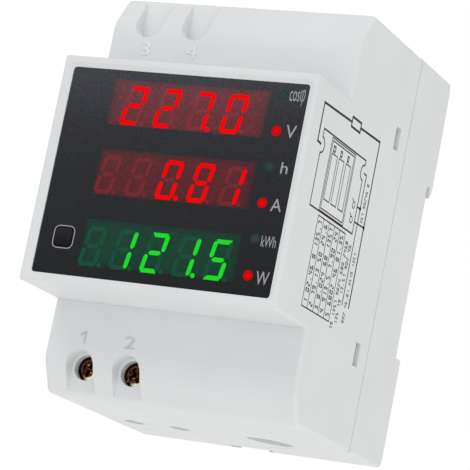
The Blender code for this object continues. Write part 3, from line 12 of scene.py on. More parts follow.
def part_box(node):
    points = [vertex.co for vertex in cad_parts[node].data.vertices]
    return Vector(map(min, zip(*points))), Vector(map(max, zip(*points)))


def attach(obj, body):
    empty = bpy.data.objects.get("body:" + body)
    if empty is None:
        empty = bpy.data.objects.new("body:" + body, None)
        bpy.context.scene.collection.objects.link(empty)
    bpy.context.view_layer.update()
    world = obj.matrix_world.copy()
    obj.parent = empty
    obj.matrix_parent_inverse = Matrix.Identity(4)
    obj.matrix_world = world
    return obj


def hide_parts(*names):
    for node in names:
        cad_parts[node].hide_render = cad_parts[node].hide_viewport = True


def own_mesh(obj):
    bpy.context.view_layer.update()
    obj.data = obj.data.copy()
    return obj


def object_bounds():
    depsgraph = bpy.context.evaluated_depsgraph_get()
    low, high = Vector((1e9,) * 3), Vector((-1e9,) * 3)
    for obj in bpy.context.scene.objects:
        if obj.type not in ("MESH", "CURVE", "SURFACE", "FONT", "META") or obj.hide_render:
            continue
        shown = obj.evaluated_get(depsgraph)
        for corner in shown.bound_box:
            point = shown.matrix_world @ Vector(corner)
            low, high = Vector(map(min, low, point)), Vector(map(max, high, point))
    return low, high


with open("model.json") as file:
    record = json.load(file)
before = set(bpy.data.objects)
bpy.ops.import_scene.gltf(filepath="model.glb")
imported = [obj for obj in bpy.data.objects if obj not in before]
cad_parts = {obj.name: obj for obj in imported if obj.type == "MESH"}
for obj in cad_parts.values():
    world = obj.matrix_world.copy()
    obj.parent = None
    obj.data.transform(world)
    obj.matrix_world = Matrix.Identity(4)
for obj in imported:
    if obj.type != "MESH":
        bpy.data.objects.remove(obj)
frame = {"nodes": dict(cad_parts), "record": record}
CAD_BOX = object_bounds()

MM = 0.001
MICRON = 0.001 * MM
LEFT_SIDE, BEZEL, LOWER_END = CAD_BOX[0]
RIGHT_SIDE, _, UPPER_END = CAD_BOX[1]
HALF_FRONT = 22.5 * MM           # half the height of the raised front
FACET = -45.7 * MM               # front of both terminal covers

# Kinds of print: how far each stands off its face, and its thickness, most of it sunk in
INK = (6 * MICRON, 20 * MICRON)
SIDE_INK = (4 * MICRON, 20 * MICRON)
FILM_EDGE = (4 * MICRON, 16 * MICRON)
LAMP_FACE = (10 * MICRON, 20 * MICRON)
LIT_BAR = (30 * MICRON, 60 * MICRON)
UNLIT_BAR = (12 * MICRON, 30 * MICRON)
RAISED = (140 * MICRON, 300 * MICRON)


# Places on the object

def front_point(x, z, y):
    """A point of a drawing on a face that looks to the front."""
    return Vector((x, y, z))


def side_point(y, z, x):
    """A point of a drawing on the right side, or seen from there."""
    return Vector((x, y, z))


def plan_point(x, y, z):
    """A point of a drawing seen from above."""
    return Vector((x, y, z))


def profile_point(z, y, x):
    """A point of a drawing seen from the right side, with its first number up Z."""
    return Vector((x, y, z))


# Faces that take print: how a point is placed, where the face lies and which way it looks
PANEL_FACE = (front_point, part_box("front_panel")[0].y, -1)
COVER_FACE = (front_point, FACET, -1)
SIDE_FACE = (side_point, RIGHT_SIDE, 1)


def on_front(u, w):
    """X and Z on the front: u from its left side and w from its upper edge, in millimetres."""
    return LEFT_SIDE + u * MM, HALF_FRONT - w * MM


def on_side(u, w):
    """Y and Z on the right side: u from the bezel and w from the upper end, in millimetres."""
    return BEZEL + u * MM, UPPER_END - w * MM


def middle_of(node):
    """Middle of a CAD piece's box."""
    low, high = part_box(node)
    return (low + high) / 2


def levels(face, kind):
    """Where the top and the bottom of a print lie."""
    _, level, outward = face
    proud, depth = kind
    return level + outward * proud, level - outward * (depth - proud)


# Pieces

def add_object(name, data):
    item = bpy.data.objects.new(name, data)
    bpy.context.scene.collection.objects.link(item)
    return item


def new_mesh(name, verts, faces, smooth=False):
    mesh = bpy.data.meshes.new(name)
    mesh.from_pydata([tuple(v) for v in verts], [], faces)
    mesh.update()
    work = bmesh.new()
    work.from_mesh(mesh)
    bmesh.ops.recalc_face_normals(work, faces=work.faces)
    work.to_mesh(mesh)
    work.free()
    for face in mesh.polygons:
        face.use_smooth = smooth
    return add_object(name, mesh)


def dress(piece, look, body="housing"):
    """Gives a piece its look and the body that it moves with."""
    piece.data.materials.append(look)
    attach(piece, body)


def circle(a, b, radius, count):
    turns = [2 * math.pi * i / count for i in range(count)]
    return [(a + radius * math.cos(t), b + radius * math.sin(t)) for t in turns]


def rounded(a, b, size, radius):
    """Outline of a square with round corners, about its middle."""
    steps = 6
    out = []
    for corner, (sa, sb) in enumerate(((1, 1), (-1, 1), (-1, -1), (1, -1))):
        for i in range(steps + 1):
            t = math.pi / 2 * (corner + i / steps)
            out.append((a + sa * (size / 2 - radius) + radius * math.cos(t),
                        b + sb * (size / 2 - radius) + radius * math.sin(t)))
    return out


class Print:
    """Thin shapes on one face, gathered into one piece."""

    def __init__(self, name, face, kind=INK):
        self.name, self.place = name, face[0]
        self.top, self.bottom = levels(face, kind)
        self.verts, self.faces = [], []

    def shape(self, outline):
        """A filled outline."""
        start, n = len(self.verts), len(outline)
        for level in (self.bottom, self.top):
            self.verts += [self.place(a, b, level) for a, b in outline]
        self.faces.append([start + i for i in range(n)][::-1])
        self.faces.append([start + n + i for i in range(n)])
        for i in range(n):
            j = (i + 1) % n
            self.faces.append([start + i, start + j, start + n + j, start + n + i])

    def ring(self, outer, inner):
        """The band between two outlines of as many points."""
        start, n = len(self.verts), len(outer)
        for level in (self.bottom, self.top):
            for outline in (outer, inner):
                self.verts += [self.place(a, b, level) for a, b in outline]
        up = 2 * n
        for i in range(n):
            j = (i + 1) % n
            o0, o1, i0, i1 = start + i, start + j, start + n + i, start + n + j
            self.faces += [[o0, i0, i1, o1], [o0 + up, o1 + up, i1 + up, i0 + up],
                           [o0, o1, o1 + up, o0 + up], [i0, i0 + up, i1 + up, i1]]

    def line(self, points, width, closed=False):
        """A line of even width with mitred corners."""
        points = [Vector((a, b)) for a, b in points]
        n = len(points)
        left, right = [], []
        for i, point in enumerate(points):
            ways = []
            if closed or i > 0:
                ways.append((point - points[i - 1]).normalized())
            if closed or i < n - 1:
                ways.append((points[(i + 1) % n] - point).normalized())
            normals = [Vector((-way.y, way.x)) for way in ways]
            mean = sum(normals, Vector((0, 0))).normalized()
            reach = width / 2 / max(mean.dot(normals[0]), 0.3)
            left.append(tuple(point + mean * reach))
            right.append(tuple(point - mean * reach))
        if closed:
            self.ring(left, right)
        else:
            self.shape(left + right[::-1])

    def box(self, a0, b0, a1, b1, width):
        self.line([(a0, b0), (a1, b0), (a1, b1), (a0, b1)], width, closed=True)

    def disc(self, a, b, radius, count=20):
        self.shape(circle(a, b, radius, count))

    def hoop(self, a, b, radius, width, count=24):
        self.ring(circle(a, b, radius + width / 2, count), circle(a, b, radius - width / 2, count))

    def done(self, look):
        dress(new_mesh(self.name, self.verts, self.faces), look)


def written(name, text, place, size, face, look, kind=INK, weight=0.0):
    """Plain sans lettering on a face that looks to the front. place is its middle, size its width and
    height, and weight thickens or thins its strokes."""
    curve = bpy.data.curves.new(name, "FONT")
    curve.body = text
    curve.offset = weight
    curve.resolution_u = 4
    curve.extrude = 0.5
    maker = add_object(name, curve)
    graph = bpy.context.evaluated_depsgraph_get()
    mesh = bpy.data.meshes.new_from_object(maker.evaluated_get(graph))
    bpy.data.objects.remove(maker)
    low = [min(v.co[i] for v in mesh.vertices) for i in range(2)]
    high = [max(v.co[i] for v in mesh.vertices) for i in range(2)]
    top, bottom = levels(face, kind)
    for v in mesh.vertices:
        x, z = (place[i] + (v.co[i] - (low[i] + high[i]) / 2) * size[i] / (high[i] - low[i])
                for i in range(2))
        v.co = (x, top if v.co.z > 0 else bottom, z)
    mesh.materials.clear()
    dress(add_object(name, mesh), look)


# Materials

def linear(red, green, blue):
    """Colour as it is seen on a screen, 0 to 255, to what a shader takes."""
    out = []
    for value in (red, green, blue):
        value /= 255.0
        out.append(value / 12.92 if value <= 0.04045 else ((value + 0.055) / 1.055) ** 2.4)
    return (*out, 1.0)


def grey(value):
    return (value, value, value, 1)


def shade(colour, factor):
    """A darker or lighter kind of a shader's colour."""
    return (*(min(part * factor, 1) for part in colour[:3]), 1)


BLACK, WHITE = grey(0), grey(1)
BLACK_FILM = (0.0085, 0.0092, 0.0108, 1)
# Painted light: the paler white painted into the housing's hollow places
PAINTED_HOLLOW_LIGHT = linear(246, 247, 248)


class Look:
    """A material with a Principled shader and the few nodes that most finishes here share. An output
    is a node with the name of one of its sockets, and an input takes a value or an output."""

    def __init__(self, name):
        self.mat = bpy.data.materials.new(name)
        self.mat.use_nodes = True
        self.tree = self.mat.node_tree
        self.tree.nodes.clear()
        self.shader = self.add("ShaderNodeBsdfPrincipled")
        self.end = self.add("ShaderNodeOutputMaterial", Surface=(self.shader, "BSDF"))
        coordinates = self.add("ShaderNodeTexCoord")
        self.places = (coordinates, "Object")
        self.shares = (coordinates, "Generated")

    def put(self, socket, value):
        if isinstance(value, tuple) and isinstance(value[0], bpy.types.Node):
            self.tree.links.new(value[0].outputs[value[1]], socket)
        else:
            socket.default_value = value

    def add(self, kind, **settings):
        """A new node. Settings are its options and then its inputs, with _ for a space."""
        node = self.tree.nodes.new(kind)
        for key, value in settings.items():
            socket = key.replace("_", " ")
            if socket in node.inputs:
                self.put(node.inputs[socket], value)
            else:
                setattr(node, key, value)
        return node

    def set(self, **settings):
        """Inputs of the shader, with _ for a space."""
        for key, value in settings.items():
            self.put(self.shader.inputs[key.replace("_", " ")], value)
        return self

    def noise(self, scale, detail=2.0, distortion=0.0, stretch=None):
        places = self.places
        if stretch:
            places = (self.add("ShaderNodeMapping", Vector=places, Scale=stretch), "Vector")
        return self.add("ShaderNodeTexNoise", Vector=places, Scale=scale, Detail=detail,
                        Distortion=distortion), "Fac"

    def ramp(self, source, stops, interpolation="LINEAR"):
        """Colours along the range of an output."""
        node = self.add("ShaderNodeValToRGB", Fac=source)
        node.color_ramp.interpolation = interpolation
        while len(node.color_ramp.elements) < len(stops):
            node.color_ramp.elements.new(0.5)
        for element, (at, colour) in zip(node.color_ramp.elements, stops):
            element.position = at
            element.color = colour
        return node, "Color"

    def math(self, operation, *values):
        node = self.add("ShaderNodeMath", operation=operation)
        for socket, value in zip(node.inputs, values):
            self.put(socket, value)
        return node, "Value"

    def mix(self, share, first, second, blend="MIX"):
        """Two colours by a share."""
        return self.add("ShaderNodeMix", data_type="RGBA", blend_type=blend, Factor=share, A=first,
                        B=second), "Result"

    def split(self, place):
        node = self.add("ShaderNodeSeparateXYZ", Vector=place)
        return (node, "X"), (node, "Y"), (node, "Z")

    def from_middle(self):
        """How far a spot lies across, above and away from the middle of its piece, as shares of the
        piece's box seen from the front."""
        x, _, z = self.split(self.shares)
        across, upward = self.math("SUBTRACT", x, 0.5), self.math("SUBTRACT", z, 0.5)
        squares = self.math("ADD", self.math("MULTIPLY", across, across),
                            self.math("MULTIPLY", upward, upward))
        return across, upward, self.math("SQRT", squares)

    def roughen(self, pattern, low, high):
        """Roughness that follows a pattern."""
        node = self.add("ShaderNodeMapRange", Value=pattern, From_Min=0.3, From_Max=0.7, To_Min=low,
                        To_Max=high)
        self.set(Roughness=(node, "Result"))

    def bump(self, pattern, height, strength, soft_edge=None):
        node = self.add("ShaderNodeBump", Height=pattern, Distance=height, Strength=strength)
        if soft_edge:
            edge = self.add("ShaderNodeBevel", samples=4, Radius=soft_edge)
            self.put(node.inputs["Normal"], (edge, "Normal"))
        self.set(Normal=(node, "Normal"))


def painted_light_in_hollows(look, painted_light_hollows):
    """How much painted light a spot gets for lying in a hollow. Each hollow is a weight, a middle and half
    sizes, and it holds at both ends of the housing alike."""
    x, y, z = look.split(look.places)
    height = look.math("ABSOLUTE", z)
    share = 0.0
    for weight, middle, half in painted_light_hollows:
        inside = look.math("COMPARE", height, middle[2], half[2])
        for value, at, reach in ((x, middle[0], half[0]), (y, middle[1], half[1])):
            inside = look.math("MULTIPLY", inside, look.math("COMPARE", value, at, reach))
        share = look.math("MULTIPLY_ADD", inside, weight, share)
    return share


def moulded(name, low, high, roughness, grain=2600.0, height=10 * MICRON, painted_light_hollows=()):
    """Moulded plastic: fine spark-eroded grain, faint cloudy colour and soft edges. Where hollow places
    are given, painted light makes them paler than its faces."""
    look = Look(name)
    colours = look.ramp(look.noise(55.0, detail=3.0), [(0.35, low), (0.65, high)])
    if painted_light_hollows:
        # Painted light: hollow places are painted paler than the faces round them
        colours = look.mix(painted_light_in_hollows(look, painted_light_hollows), colours, PAINTED_HOLLOW_LIGHT)
    look.set(Base_Color=colours, Specular_IOR_Level=0.4)
    fine = look.noise(grain)
    look.roughen(fine, roughness - 0.05, roughness + 0.06)
    look.bump(fine, height, 0.5, soft_edge=0.2 * MM)
    return look.mat


def film(name, colour, roughness, specular, window=None):
    """Printed or tinted film with a fine grain. It has a painted reflection: it pales a little toward the
    head of the panel, and very slightly toward its left. The tint of a window fades into the black round it."""
    look = Look(name)
    x, _, z = look.split(look.places)
    grain = look.noise(2700.0)
    tint = look.ramp(grain, [(0.3, shade(colour, 0.8)), (0.7, shade(colour, 1.2))])
    if window:
        inward = []
        for value, (at, half) in zip((x, z), window):
            from_middle = look.math("ABSOLUTE", look.math("SUBTRACT", value, at))
            inward.append(look.math("SUBTRACT", half, from_middle))
        near = look.math("MINIMUM", look.math("MULTIPLY", inward[0], 0.6),
                         look.math("ADD", inward[1], 0.15 * MM))
        share = look.math("MULTIPLY", near, 1 / (2 * MM))
        fade = look.ramp(share, [(0.0, grey(0.12)), (0.2, grey(0.55)), (0.6, grey(0.86)), (1.0, WHITE)])
        tint = look.mix(fade, BLACK_FILM, tint)
    # Painted reflection: the film is paler upward and very slightly leftward, broken by its grain
    high = look.math("MULTIPLY_ADD", z, 25.0, look.math("MULTIPLY_ADD", x, -2.0, 0.5))
    painted_sheen = look.ramp(high, [(0.0, BLACK), (0.5, (0.0078, 0.0078, 0.0095, 1)),
                            (0.78, (0.0165, 0.0165, 0.0205, 1)), (1.0, (0.036, 0.036, 0.044, 1))])
    dull = look.ramp(grain, [(0.3, grey(0.7)), (0.7, grey(1.3))])
    painted_sheen = look.mix(1.0, painted_sheen, dull, "MULTIPLY")
    look.set(Base_Color=look.mix(1.0, tint, painted_sheen, "ADD"), Specular_IOR_Level=specular)
    look.roughen(look.noise(160.0), roughness - 0.05, roughness + 0.05)
    look.bump(grain, 8 * MICRON, 0.4)
    return look.mat


def cap(name):
    """Polished black moulding with a shallow dish. Painted reflection: it pales toward its upper edge."""
    look = Look(name)
    _, _, upward = look.split(look.shares)
    smear = look.noise(420.0)
    # Painted reflection: paler toward the upper edge, smeared a little
    high = look.math("ADD", upward, look.math("MULTIPLY_ADD", smear, 0.3, -0.15))
    colours = look.ramp(high, [(0.15, (0.0022, 0.0024, 0.0034, 1)), (0.55, (0.0085, 0.009, 0.0118, 1)),
                               (0.85, (0.0165, 0.017, 0.021, 1))])
    look.set(Base_Color=colours, Specular_IOR_Level=0.12)
    look.roughen(smear, 0.16, 0.26)
    look.bump(smear, 8 * MICRON, 0.4)
    return look.mat


def ink(name, colour):
    """Screen-printed ink, a little uneven."""
    look = Look(name)
    colours = look.ramp(look.noise(3500.0), [(0.3, shade(colour, 0.9)), (0.7, shade(colour, 1.1))])
    look.set(Base_Color=colours, Specular_IOR_Level=0.25, Roughness=0.55)
    return look.mat


def glow(name, colour):
    """A lit light bar, a little uneven."""
    look = Look(name)
    colours = look.ramp(look.noise(1600.0, detail=1.0), [(0.3, shade(colour, 0.94)), (0.7, colour)])
    look.set(Base_Color=BLACK, Specular_IOR_Level=0.0, Roughness=0.6, Emission_Color=colours,
             Emission_Strength=1.0)
    return look.mat


def metal(name, low, high, roughness):
    """Bare metal with drawing lines and soft edges."""
    look = Look(name)
    colours = look.ramp(look.noise(260.0, detail=3.0), [(0.3, low), (0.7, high)])
    look.set(Base_Color=colours, Metallic=1.0)
    lines = look.noise(900.0, detail=3.0, stretch=(1, 1, 30))
    look.roughen(lines, roughness - 0.1, roughness + 0.1)
    look.bump(lines, 4 * MICRON, 0.6, soft_edge=0.1 * MM)
    return look.mat


def board(name):
    """Solder mask with faint tracks beneath it and plated holes."""
    look = Look(name)
    turned = look.add("ShaderNodeMapping", Vector=look.places, Rotation=(math.pi / 2, 0, 0))
    tracks = look.add("ShaderNodeTexBrick", Vector=(turned, "Vector"), Scale=420.0, Mortar_Size=0.03,
                      Color1=linear(18, 92, 52), Color2=linear(24, 104, 60), Mortar=linear(34, 128, 78))
    holes = look.add("ShaderNodeTexVoronoi", Vector=look.places, Scale=330.0)
    rings = look.ramp((holes, "Distance"), [(0.10, linear(200, 190, 150)), (0.14, BLACK)])
    look.set(Base_Color=look.mix(1.0, (tracks, "Color"), rings, "LIGHTEN"), Specular_IOR_Level=0.5,
             Coat_Weight=0.3, Coat_Roughness=0.2)
    look.roughen(look.noise(1500.0), 0.3, 0.42)
    look.bump((tracks, "Fac"), 30 * MICRON, 0.4)
    return look.mat


def banded(name, ground, bands):
    """A ground colour with bands across X, such as a resistor's or a sleeve's."""
    look = Look(name)
    across, _, _ = look.split(look.shares)
    stops = [(0.0, ground)]
    for at, width, colour in bands:
        stops += [(at, colour), (at + width, ground)]
    look.set(Base_Color=look.ramp(across, stops, "CONSTANT"), Specular_IOR_Level=0.5)
    fine = look.noise(1800.0)
    look.roughen(fine, 0.34, 0.46)
    look.bump(fine, 10 * MICRON, 0.4)
    return look.mat


def ringed(name, low, high):
    """A taped winding: fine bands, one above the other."""
    look = Look(name)
    wave = look.add("ShaderNodeTexWave", wave_type="BANDS", bands_direction="Z", Vector=look.places,
                    Scale=500.0)
    look.set(Base_Color=look.ramp((wave, "Color"), [(0.2, low), (0.8, high)]), Specular_IOR_Level=0.5)
    look.roughen(look.noise(1500.0), 0.4, 0.5)
    look.bump((wave, "Fac"), 40 * MICRON, 0.5)
    return look.mat


def lens(name, edge, middle, lit):
    """An indicator lamp's lens, brightest in its middle."""
    look = Look(name).set(Roughness=0.25)
    _, _, away = look.from_middle()
    colours = look.ramp(away, [(0.12, middle), (0.42, edge)])
    if lit:
        look.set(Base_Color=(0.06, 0.0, 0.0, 1), Specular_IOR_Level=0.0, Emission_Color=colours,
                 Emission_Strength=1.0)
    else:
        look.set(Base_Color=colours, Specular_IOR_Level=0.2)
    look.bump(look.noise(1200.0, detail=1.0), 3 * MICRON, 0.3)
    return look.mat


def plated(name, dark, warm, bright_plate_and_highlight):
    """Passivated plate: patches from dark red brown over gold, whose lightest are partly painted highlight,
    fine
    tool marks, and painted highlights: a thin light ring round the top's edge and one side of the rim."""
    look = Look(name)
    cloud = look.noise(620.0, detail=3.0, distortion=1.6)
    olive, painted_highlight_tint = linear(92, 84, 34), linear(176, 150, 136)
    colours = look.ramp(cloud, [(0.38, dark), (0.46, warm), (0.51, dark), (0.56, olive), (0.6, dark),
                                (0.66, warm), (0.7, bright_plate_and_highlight)])
    across, upward, away = look.from_middle()
    uneven = look.math("MULTIPLY_ADD", cloud, 0.16, -0.08)
    # Painted highlight: a thin light ring round the edge of the screw's top
    edge = look.ramp(look.math("ADD", away, look.math("MULTIPLY", uneven, 0.5)),
                     [(0.35, BLACK), (0.372, WHITE), (0.385, BLACK)])
    # Painted highlight: the side of the rim toward the lower right is made light
    leaning = look.math("SUBTRACT", look.math("MULTIPLY", across, 0.35), upward)
    toward = look.math("MULTIPLY", leaning, 0.95)
    painted_side_highlight = look.ramp(look.math("ADD", toward, uneven), [(0.3, BLACK), (0.4, WHITE)])
    plate_with_painted_highlights = look.mix(painted_side_highlight, look.mix(edge, colours, painted_highlight_tint), bright_plate_and_highlight)
    look.set(Base_Color=plate_with_painted_highlights, Metallic=1.0)
    lines = look.noise(1500.0, detail=3.0, stretch=(1, 12, 1))
    look.roughen(lines, 0.14, 0.34)
    look.bump(lines, 12 * MICRON, 0.6, soft_edge=0.05 * MM)
    return look.mat


def housing_places_with_painted_light():
    """The pockets over the terminals, the wire entries and the mouths of the cable passage: their white is
    painted paler, painted light against their shade.
    """
    pocket_painted_light, entry_painted_light, mouth_painted_light = 0.26, 1.0, 0.55
    pocket_y, pocket_z, pocket_half = FACET + 2.0 * MM, 36.0 * MM, (3.1 * MM, 1.7 * MM, 5.0 * MM)
    entry_y, entry_shift, entry_half = -14.9 * MM, -1.3 * MM, 2.1 * MM
    wall_z, wall_half = UPPER_END - 0.9 * MM, 0.8 * MM       # an end wall without its outer face
    out = []
    for n in (1, 2):
        x = middle_of(f"terminal_screw_{n}").x
        out.append((pocket_painted_light, (x, pocket_y, pocket_z), pocket_half))
        out.append((entry_painted_light, (x + entry_shift, entry_y, wall_z), (entry_half, entry_half, wall_half)))
    low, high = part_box("passage_sleeve")
    x, y, _ = middle_of("passage_sleeve")
    mouth_half = (high.x - low.x) / 2
    out.append((mouth_painted_light, (x, y, wall_z), (mouth_half, mouth_half, wall_half)))
    return out


def window_of(node):
    """Middle and half size across and upward, from a filter without the tabs behind the panel."""
    tab = 0.5 * MM
    (x, _, z), (low, high) = middle_of(node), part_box(node)
    return (x, (high.x - low.x) / 2 - tab), (z, (high.z - low.z) / 2)


WINDOWS = {node: film(name, colour, 0.25, 0.12, window_of(node)) for node, name, colour in (
    ("red_filter_upper", "filter_red_upper", (0.127, 0.012, 0.014)),
    ("red_filter_middle", "filter_red_middle", (0.094, 0.009, 0.011)),
    ("green_filter_lower", "filter_green_lower", (0.003, 0.044, 0.024)))}
OWN_LOOKS = {**WINDOWS, "passage_sleeve": moulded("sleeve_white", linear(236, 236, 238),
                                                  linear(240, 240, 242), 0.5)}
LOOKS = {
    "housing_white": moulded("housing_white", linear(222, 223, 224), linear(225, 227, 227), 0.52,
                             painted_light_hollows=housing_places_with_painted_light()),
    "latch_white": moulded("latch_white", linear(217, 219, 221), linear(222, 223, 225), 0.5),
    "panel_black": film("panel_black", BLACK_FILM, 0.34, 0.15),
    "filter_red": WINDOWS["red_filter_upper"],
    "filter_green": WINDOWS["green_filter_lower"],
    "button_black": cap("button_black"),
    "display_body": moulded("display_body", linear(120, 120, 122), linear(140, 140, 142), 0.55),
    "led_red": lens("led_red", linear(196, 4, 8), linear(222, 12, 12), lit=True),
    "led_green": lens("led_green", linear(26, 50, 47), linear(34, 62, 58), lit=False),
    "insulator_black": moulded("insulator_black", linear(34, 34, 36), linear(44, 44, 46), 0.5,
                               grain=1600.0, height=20 * MICRON),
    "board_green": board("board_green"),
    "chip_black": moulded("chip_black", linear(24, 24, 26), linear(34, 34, 36), 0.6, grain=5000.0),
    "ribbon_grey": banded("ribbon_grey", linear(176, 176, 176),
                          [(0.08 + 0.1 * i, 0.02, linear(120, 120, 120)) for i in range(9)]),
    "capacitor_sleeve": banded("capacitor_sleeve", linear(36, 48, 86),
                               [(0.38, 0.1, linear(206, 206, 200))]),
    "capacitor_box": moulded("capacitor_box", linear(222, 158, 46), linear(230, 172, 62), 0.42,
                             grain=1200.0),
    "varistor_blue": moulded("varistor_blue", linear(30, 92, 156), linear(40, 104, 170), 0.35,
                             grain=500.0, height=40 * MICRON),
    "resistor_body": banded("resistor_body", linear(172, 200, 204),
                            [(0.2, 0.06, linear(120, 60, 30)), (0.36, 0.06, linear(20, 20, 20)),
                             (0.52, 0.06, linear(30, 30, 30)), (0.76, 0.06, linear(190, 150, 60))]),
    "ring_blue": ringed("ring_blue", linear(30, 58, 120), linear(48, 82, 150)),
    "lead_white": moulded("lead_white", linear(214, 214, 212), linear(224, 224, 222), 0.4,
                          grain=900.0),
    "screw_zinc": plated("screw_zinc", linear(44, 14, 16), linear(116, 50, 34), linear(255, 240, 200)),
    "steel": metal("steel", linear(186, 186, 184), linear(214, 213, 210), 0.34),
    "contact_brass": metal("contact_brass", linear(196, 164, 96), linear(220, 190, 122), 0.3),
}
ink_grey = ink("print_grey", linear(160, 160, 163))
ink_dark = ink("print_dark", linear(16, 14, 14))
# Painted shade and painted light: the raised numbers are the housing's own white, painted darker on the
# lower cover and paler on the upper one
relief_painted_shade = moulded("housing_relief_painted_shade", linear(199, 201, 204), linear(205, 207, 209), 0.52)
relief_painted_light = moulded("housing_relief_painted_light", linear(240, 241, 245), linear(243, 244, 248), 0.52)

for entry in frame["record"]["subparts"]:
    mesh = frame["nodes"][entry["node"]].data
    look = OWN_LOOKS.get(entry["node"], LOOKS[entry["material_slot"]])
    if not mesh.materials:
        mesh.materials.append(look)
    for i in range(len(mesh.materials)):
        mesh.materials[i] = look


# Readouts: seven light bars a digit, drawn upright and then slanted

SLANT = math.tan(math.radians(9.5))
BAR_GAP = 0.12 * MM
POINT_RADIUS, POINT_RIGHT, POINT_UP = 0.47 * MM, 0.72 * MM, 0.45 * MM
DIGITS = {"0": "abcdef", "1": "bc", "2": "abged", "3": "abgcd", "4": "fgbc", "5": "afgcd",
          "6": "afgedc", "7": "abc", "8": "abcdefg", "9": "abcdfg", " ": ""}


def bars(width, height, thick, gap):
    """Outlines of the seven bars in a cell whose lower left corner is at 0, 0. Their ends are
    pointed, in shares of a bar's thickness."""
    half, t = height / 2, thick
    point = t * 0.42
    left, right = t * 0.72 + gap, width - t * 0.72 - gap
    out = {"g": [(left - point * 0.2, half), (left + point, half + t / 2), (right - point, half + t / 2),
                 (right + point * 0.2, half), (right - point, half - t / 2), (left + point, half - t / 2)]}
    for key, z, s in (("a", height - t / 2, 1), ("d", t / 2, -1)):
        out[key] = [(left - point, z + s * t / 2), (right + point, z + s * t / 2),
                    (right + point * 0.6, z + s * t * 0.12), (right - point * 0.7, z - s * t / 2),
                    (left + point * 0.7, z - s * t / 2), (left - point * 0.6, z + s * t * 0.12)]
    for key, x, low, high in (("f", t / 2, half, height), ("b", width - t / 2, half, height),
                              ("e", t / 2, 0, half), ("c", width - t / 2, 0, half)):
        bottom, top = low + t * 0.3 + gap, high - t * 0.3 - gap
        out[key] = [(x - t * 0.22, bottom), (x + t * 0.22, bottom), (x + t / 2, bottom + point),
                    (x + t / 2, top - point), (x + t * 0.22, top), (x - t * 0.22, top),
                    (x - t / 2, top - point), (x - t / 2, bottom + point)]
    return out


def readout(name, text, cells, foot, cell_size, lit_look, unlit_look):
    """One row of digits; a point follows its digit. cells are the left ends of the slanted cells'
    feet, in millimetres from the left side, and cell_size is a cell's width and height and a bar's
    thickness in millimetres."""
    lit = Print(name + "_digits", PANEL_FACE, LIT_BAR)
    unlit = Print(name + "_unlit_bars", PANEL_FACE, UNLIT_BAR)
    width, height, thick = (value * MM for value in cell_size)
    shapes = bars(width, height, thick, BAR_GAP)
    for cell, sign in zip(cells, re.findall(r"[0-9 ]\.?", text)):
        left = LEFT_SIDE + cell * MM
        for key, outline in shapes.items():
            target = lit if key in DIGITS[sign[0]] else unlit
            target.shape([(left + x + z * SLANT, foot + z) for x, z in outline])
        target = lit if sign.endswith(".") else unlit
        target.disc(left + width + POINT_RIGHT, foot + POINT_UP, POINT_RADIUS)
    lit.done(lit_look)
    unlit.done(unlit_look)


red_lit = glow("red_light", linear(250, 6, 10))
green_lit = glow("green_light", linear(30, 222, 42))
readout("upper", "227.0", (14.05, 21.1, 28.15, 35.2), 9.6 * MM, (4.05, 7.7, 0.86), red_lit,
        film("red_unlit_upper", (0.191, 0.010, 0.016), 0.3, 0.12))
readout("middle", "  0.81", (11.55, 18.1, 24.7, 31.3, 37.8), -4.15 * MM, (3.85, 7.65, 0.84), red_lit,
        film("red_unlit_middle", (0.162, 0.011, 0.015), 0.3, 0.12))
readout("lower", " 121.5", (11.4, 18.0, 24.6, 31.2, 37.8), -18.4 * MM, (4.0, 7.8, 0.85), green_lit,
        film("green_unlit", (0.001, 0.069, 0.034), 0.3, 0.12))


# Print on the panel

LAMPS = range(1, 7)
LAMP_RADIUS, LAMP_JOINT, JOINT_WIDTH = 0.98 * MM, 1.05 * MM, 0.2 * MM

button_ring = Print("button_ring", PANEL_FACE)
x, _, z = middle_of("push_button")
outer, inner = (rounded(x, z, size * MM, radius * MM) for size, radius in ((4.5, 1.15), (4.12, 0.95)))
button_ring.ring(outer, inner)
button_ring.done(ink_grey)

# The film runs on over the joints round the windows and the lamps
edging = Print("panel_film_edges", PANEL_FACE, FILM_EDGE)
for node in WINDOWS:
    (x, half_x), (z, half_z) = window_of(node)
    outer, inner = ([(x + sx * (half_x + grow), z + sz * (half_z + grow))
                     for sx, sz in ((-1, -1), (1, -1), (1, 1), (-1, 1))]
                    for grow in (0.25 * MM, -0.12 * MM))
    edging.ring(outer, inner)
for n in LAMPS:
    x, _, z = middle_of(f"indicator_led_{n}")
    edging.hoop(x, z, LAMP_JOINT, JOINT_WIDTH, 32)
edging.done(LOOKS["panel_black"])
for n in LAMPS:
    x, _, z = middle_of(f"indicator_led_{n}")
    face = Print(f"lamp_window_{n}", PANEL_FACE, LAMP_FACE)
    face.disc(x, z, LAMP_RADIUS, 32)
    slot = "led_red" if n % 2 == 0 else "led_green"
    face.done(LOOKS[slot])

# Unit signs: middle on the front, width and height, in millimetres
for name, text, u, w, width, height in (
        ("legend_power_factor", "cosφ", 49.95, 4.85, 3.1, 3.2),
        ("legend_volt", "V", 50.05, 11.5, 2.1, 2.5),
        ("legend_hour", "h", 50.15, 18.45, 1.4, 2.2),
        ("legend_ampere", "A", 50.0, 25.6, 2.2, 2.4),
        ("legend_energy", "kWh", 49.9, 32.6, 3.0, 2.1),
        ("legend_watt", "W", 50.05, 39.5, 2.6, 2.5)):
    written(name, text, on_front(u, w), (width * MM, height * MM), PANEL_FACE, ink_grey)


# Numbers of the terminals, raised in the moulding

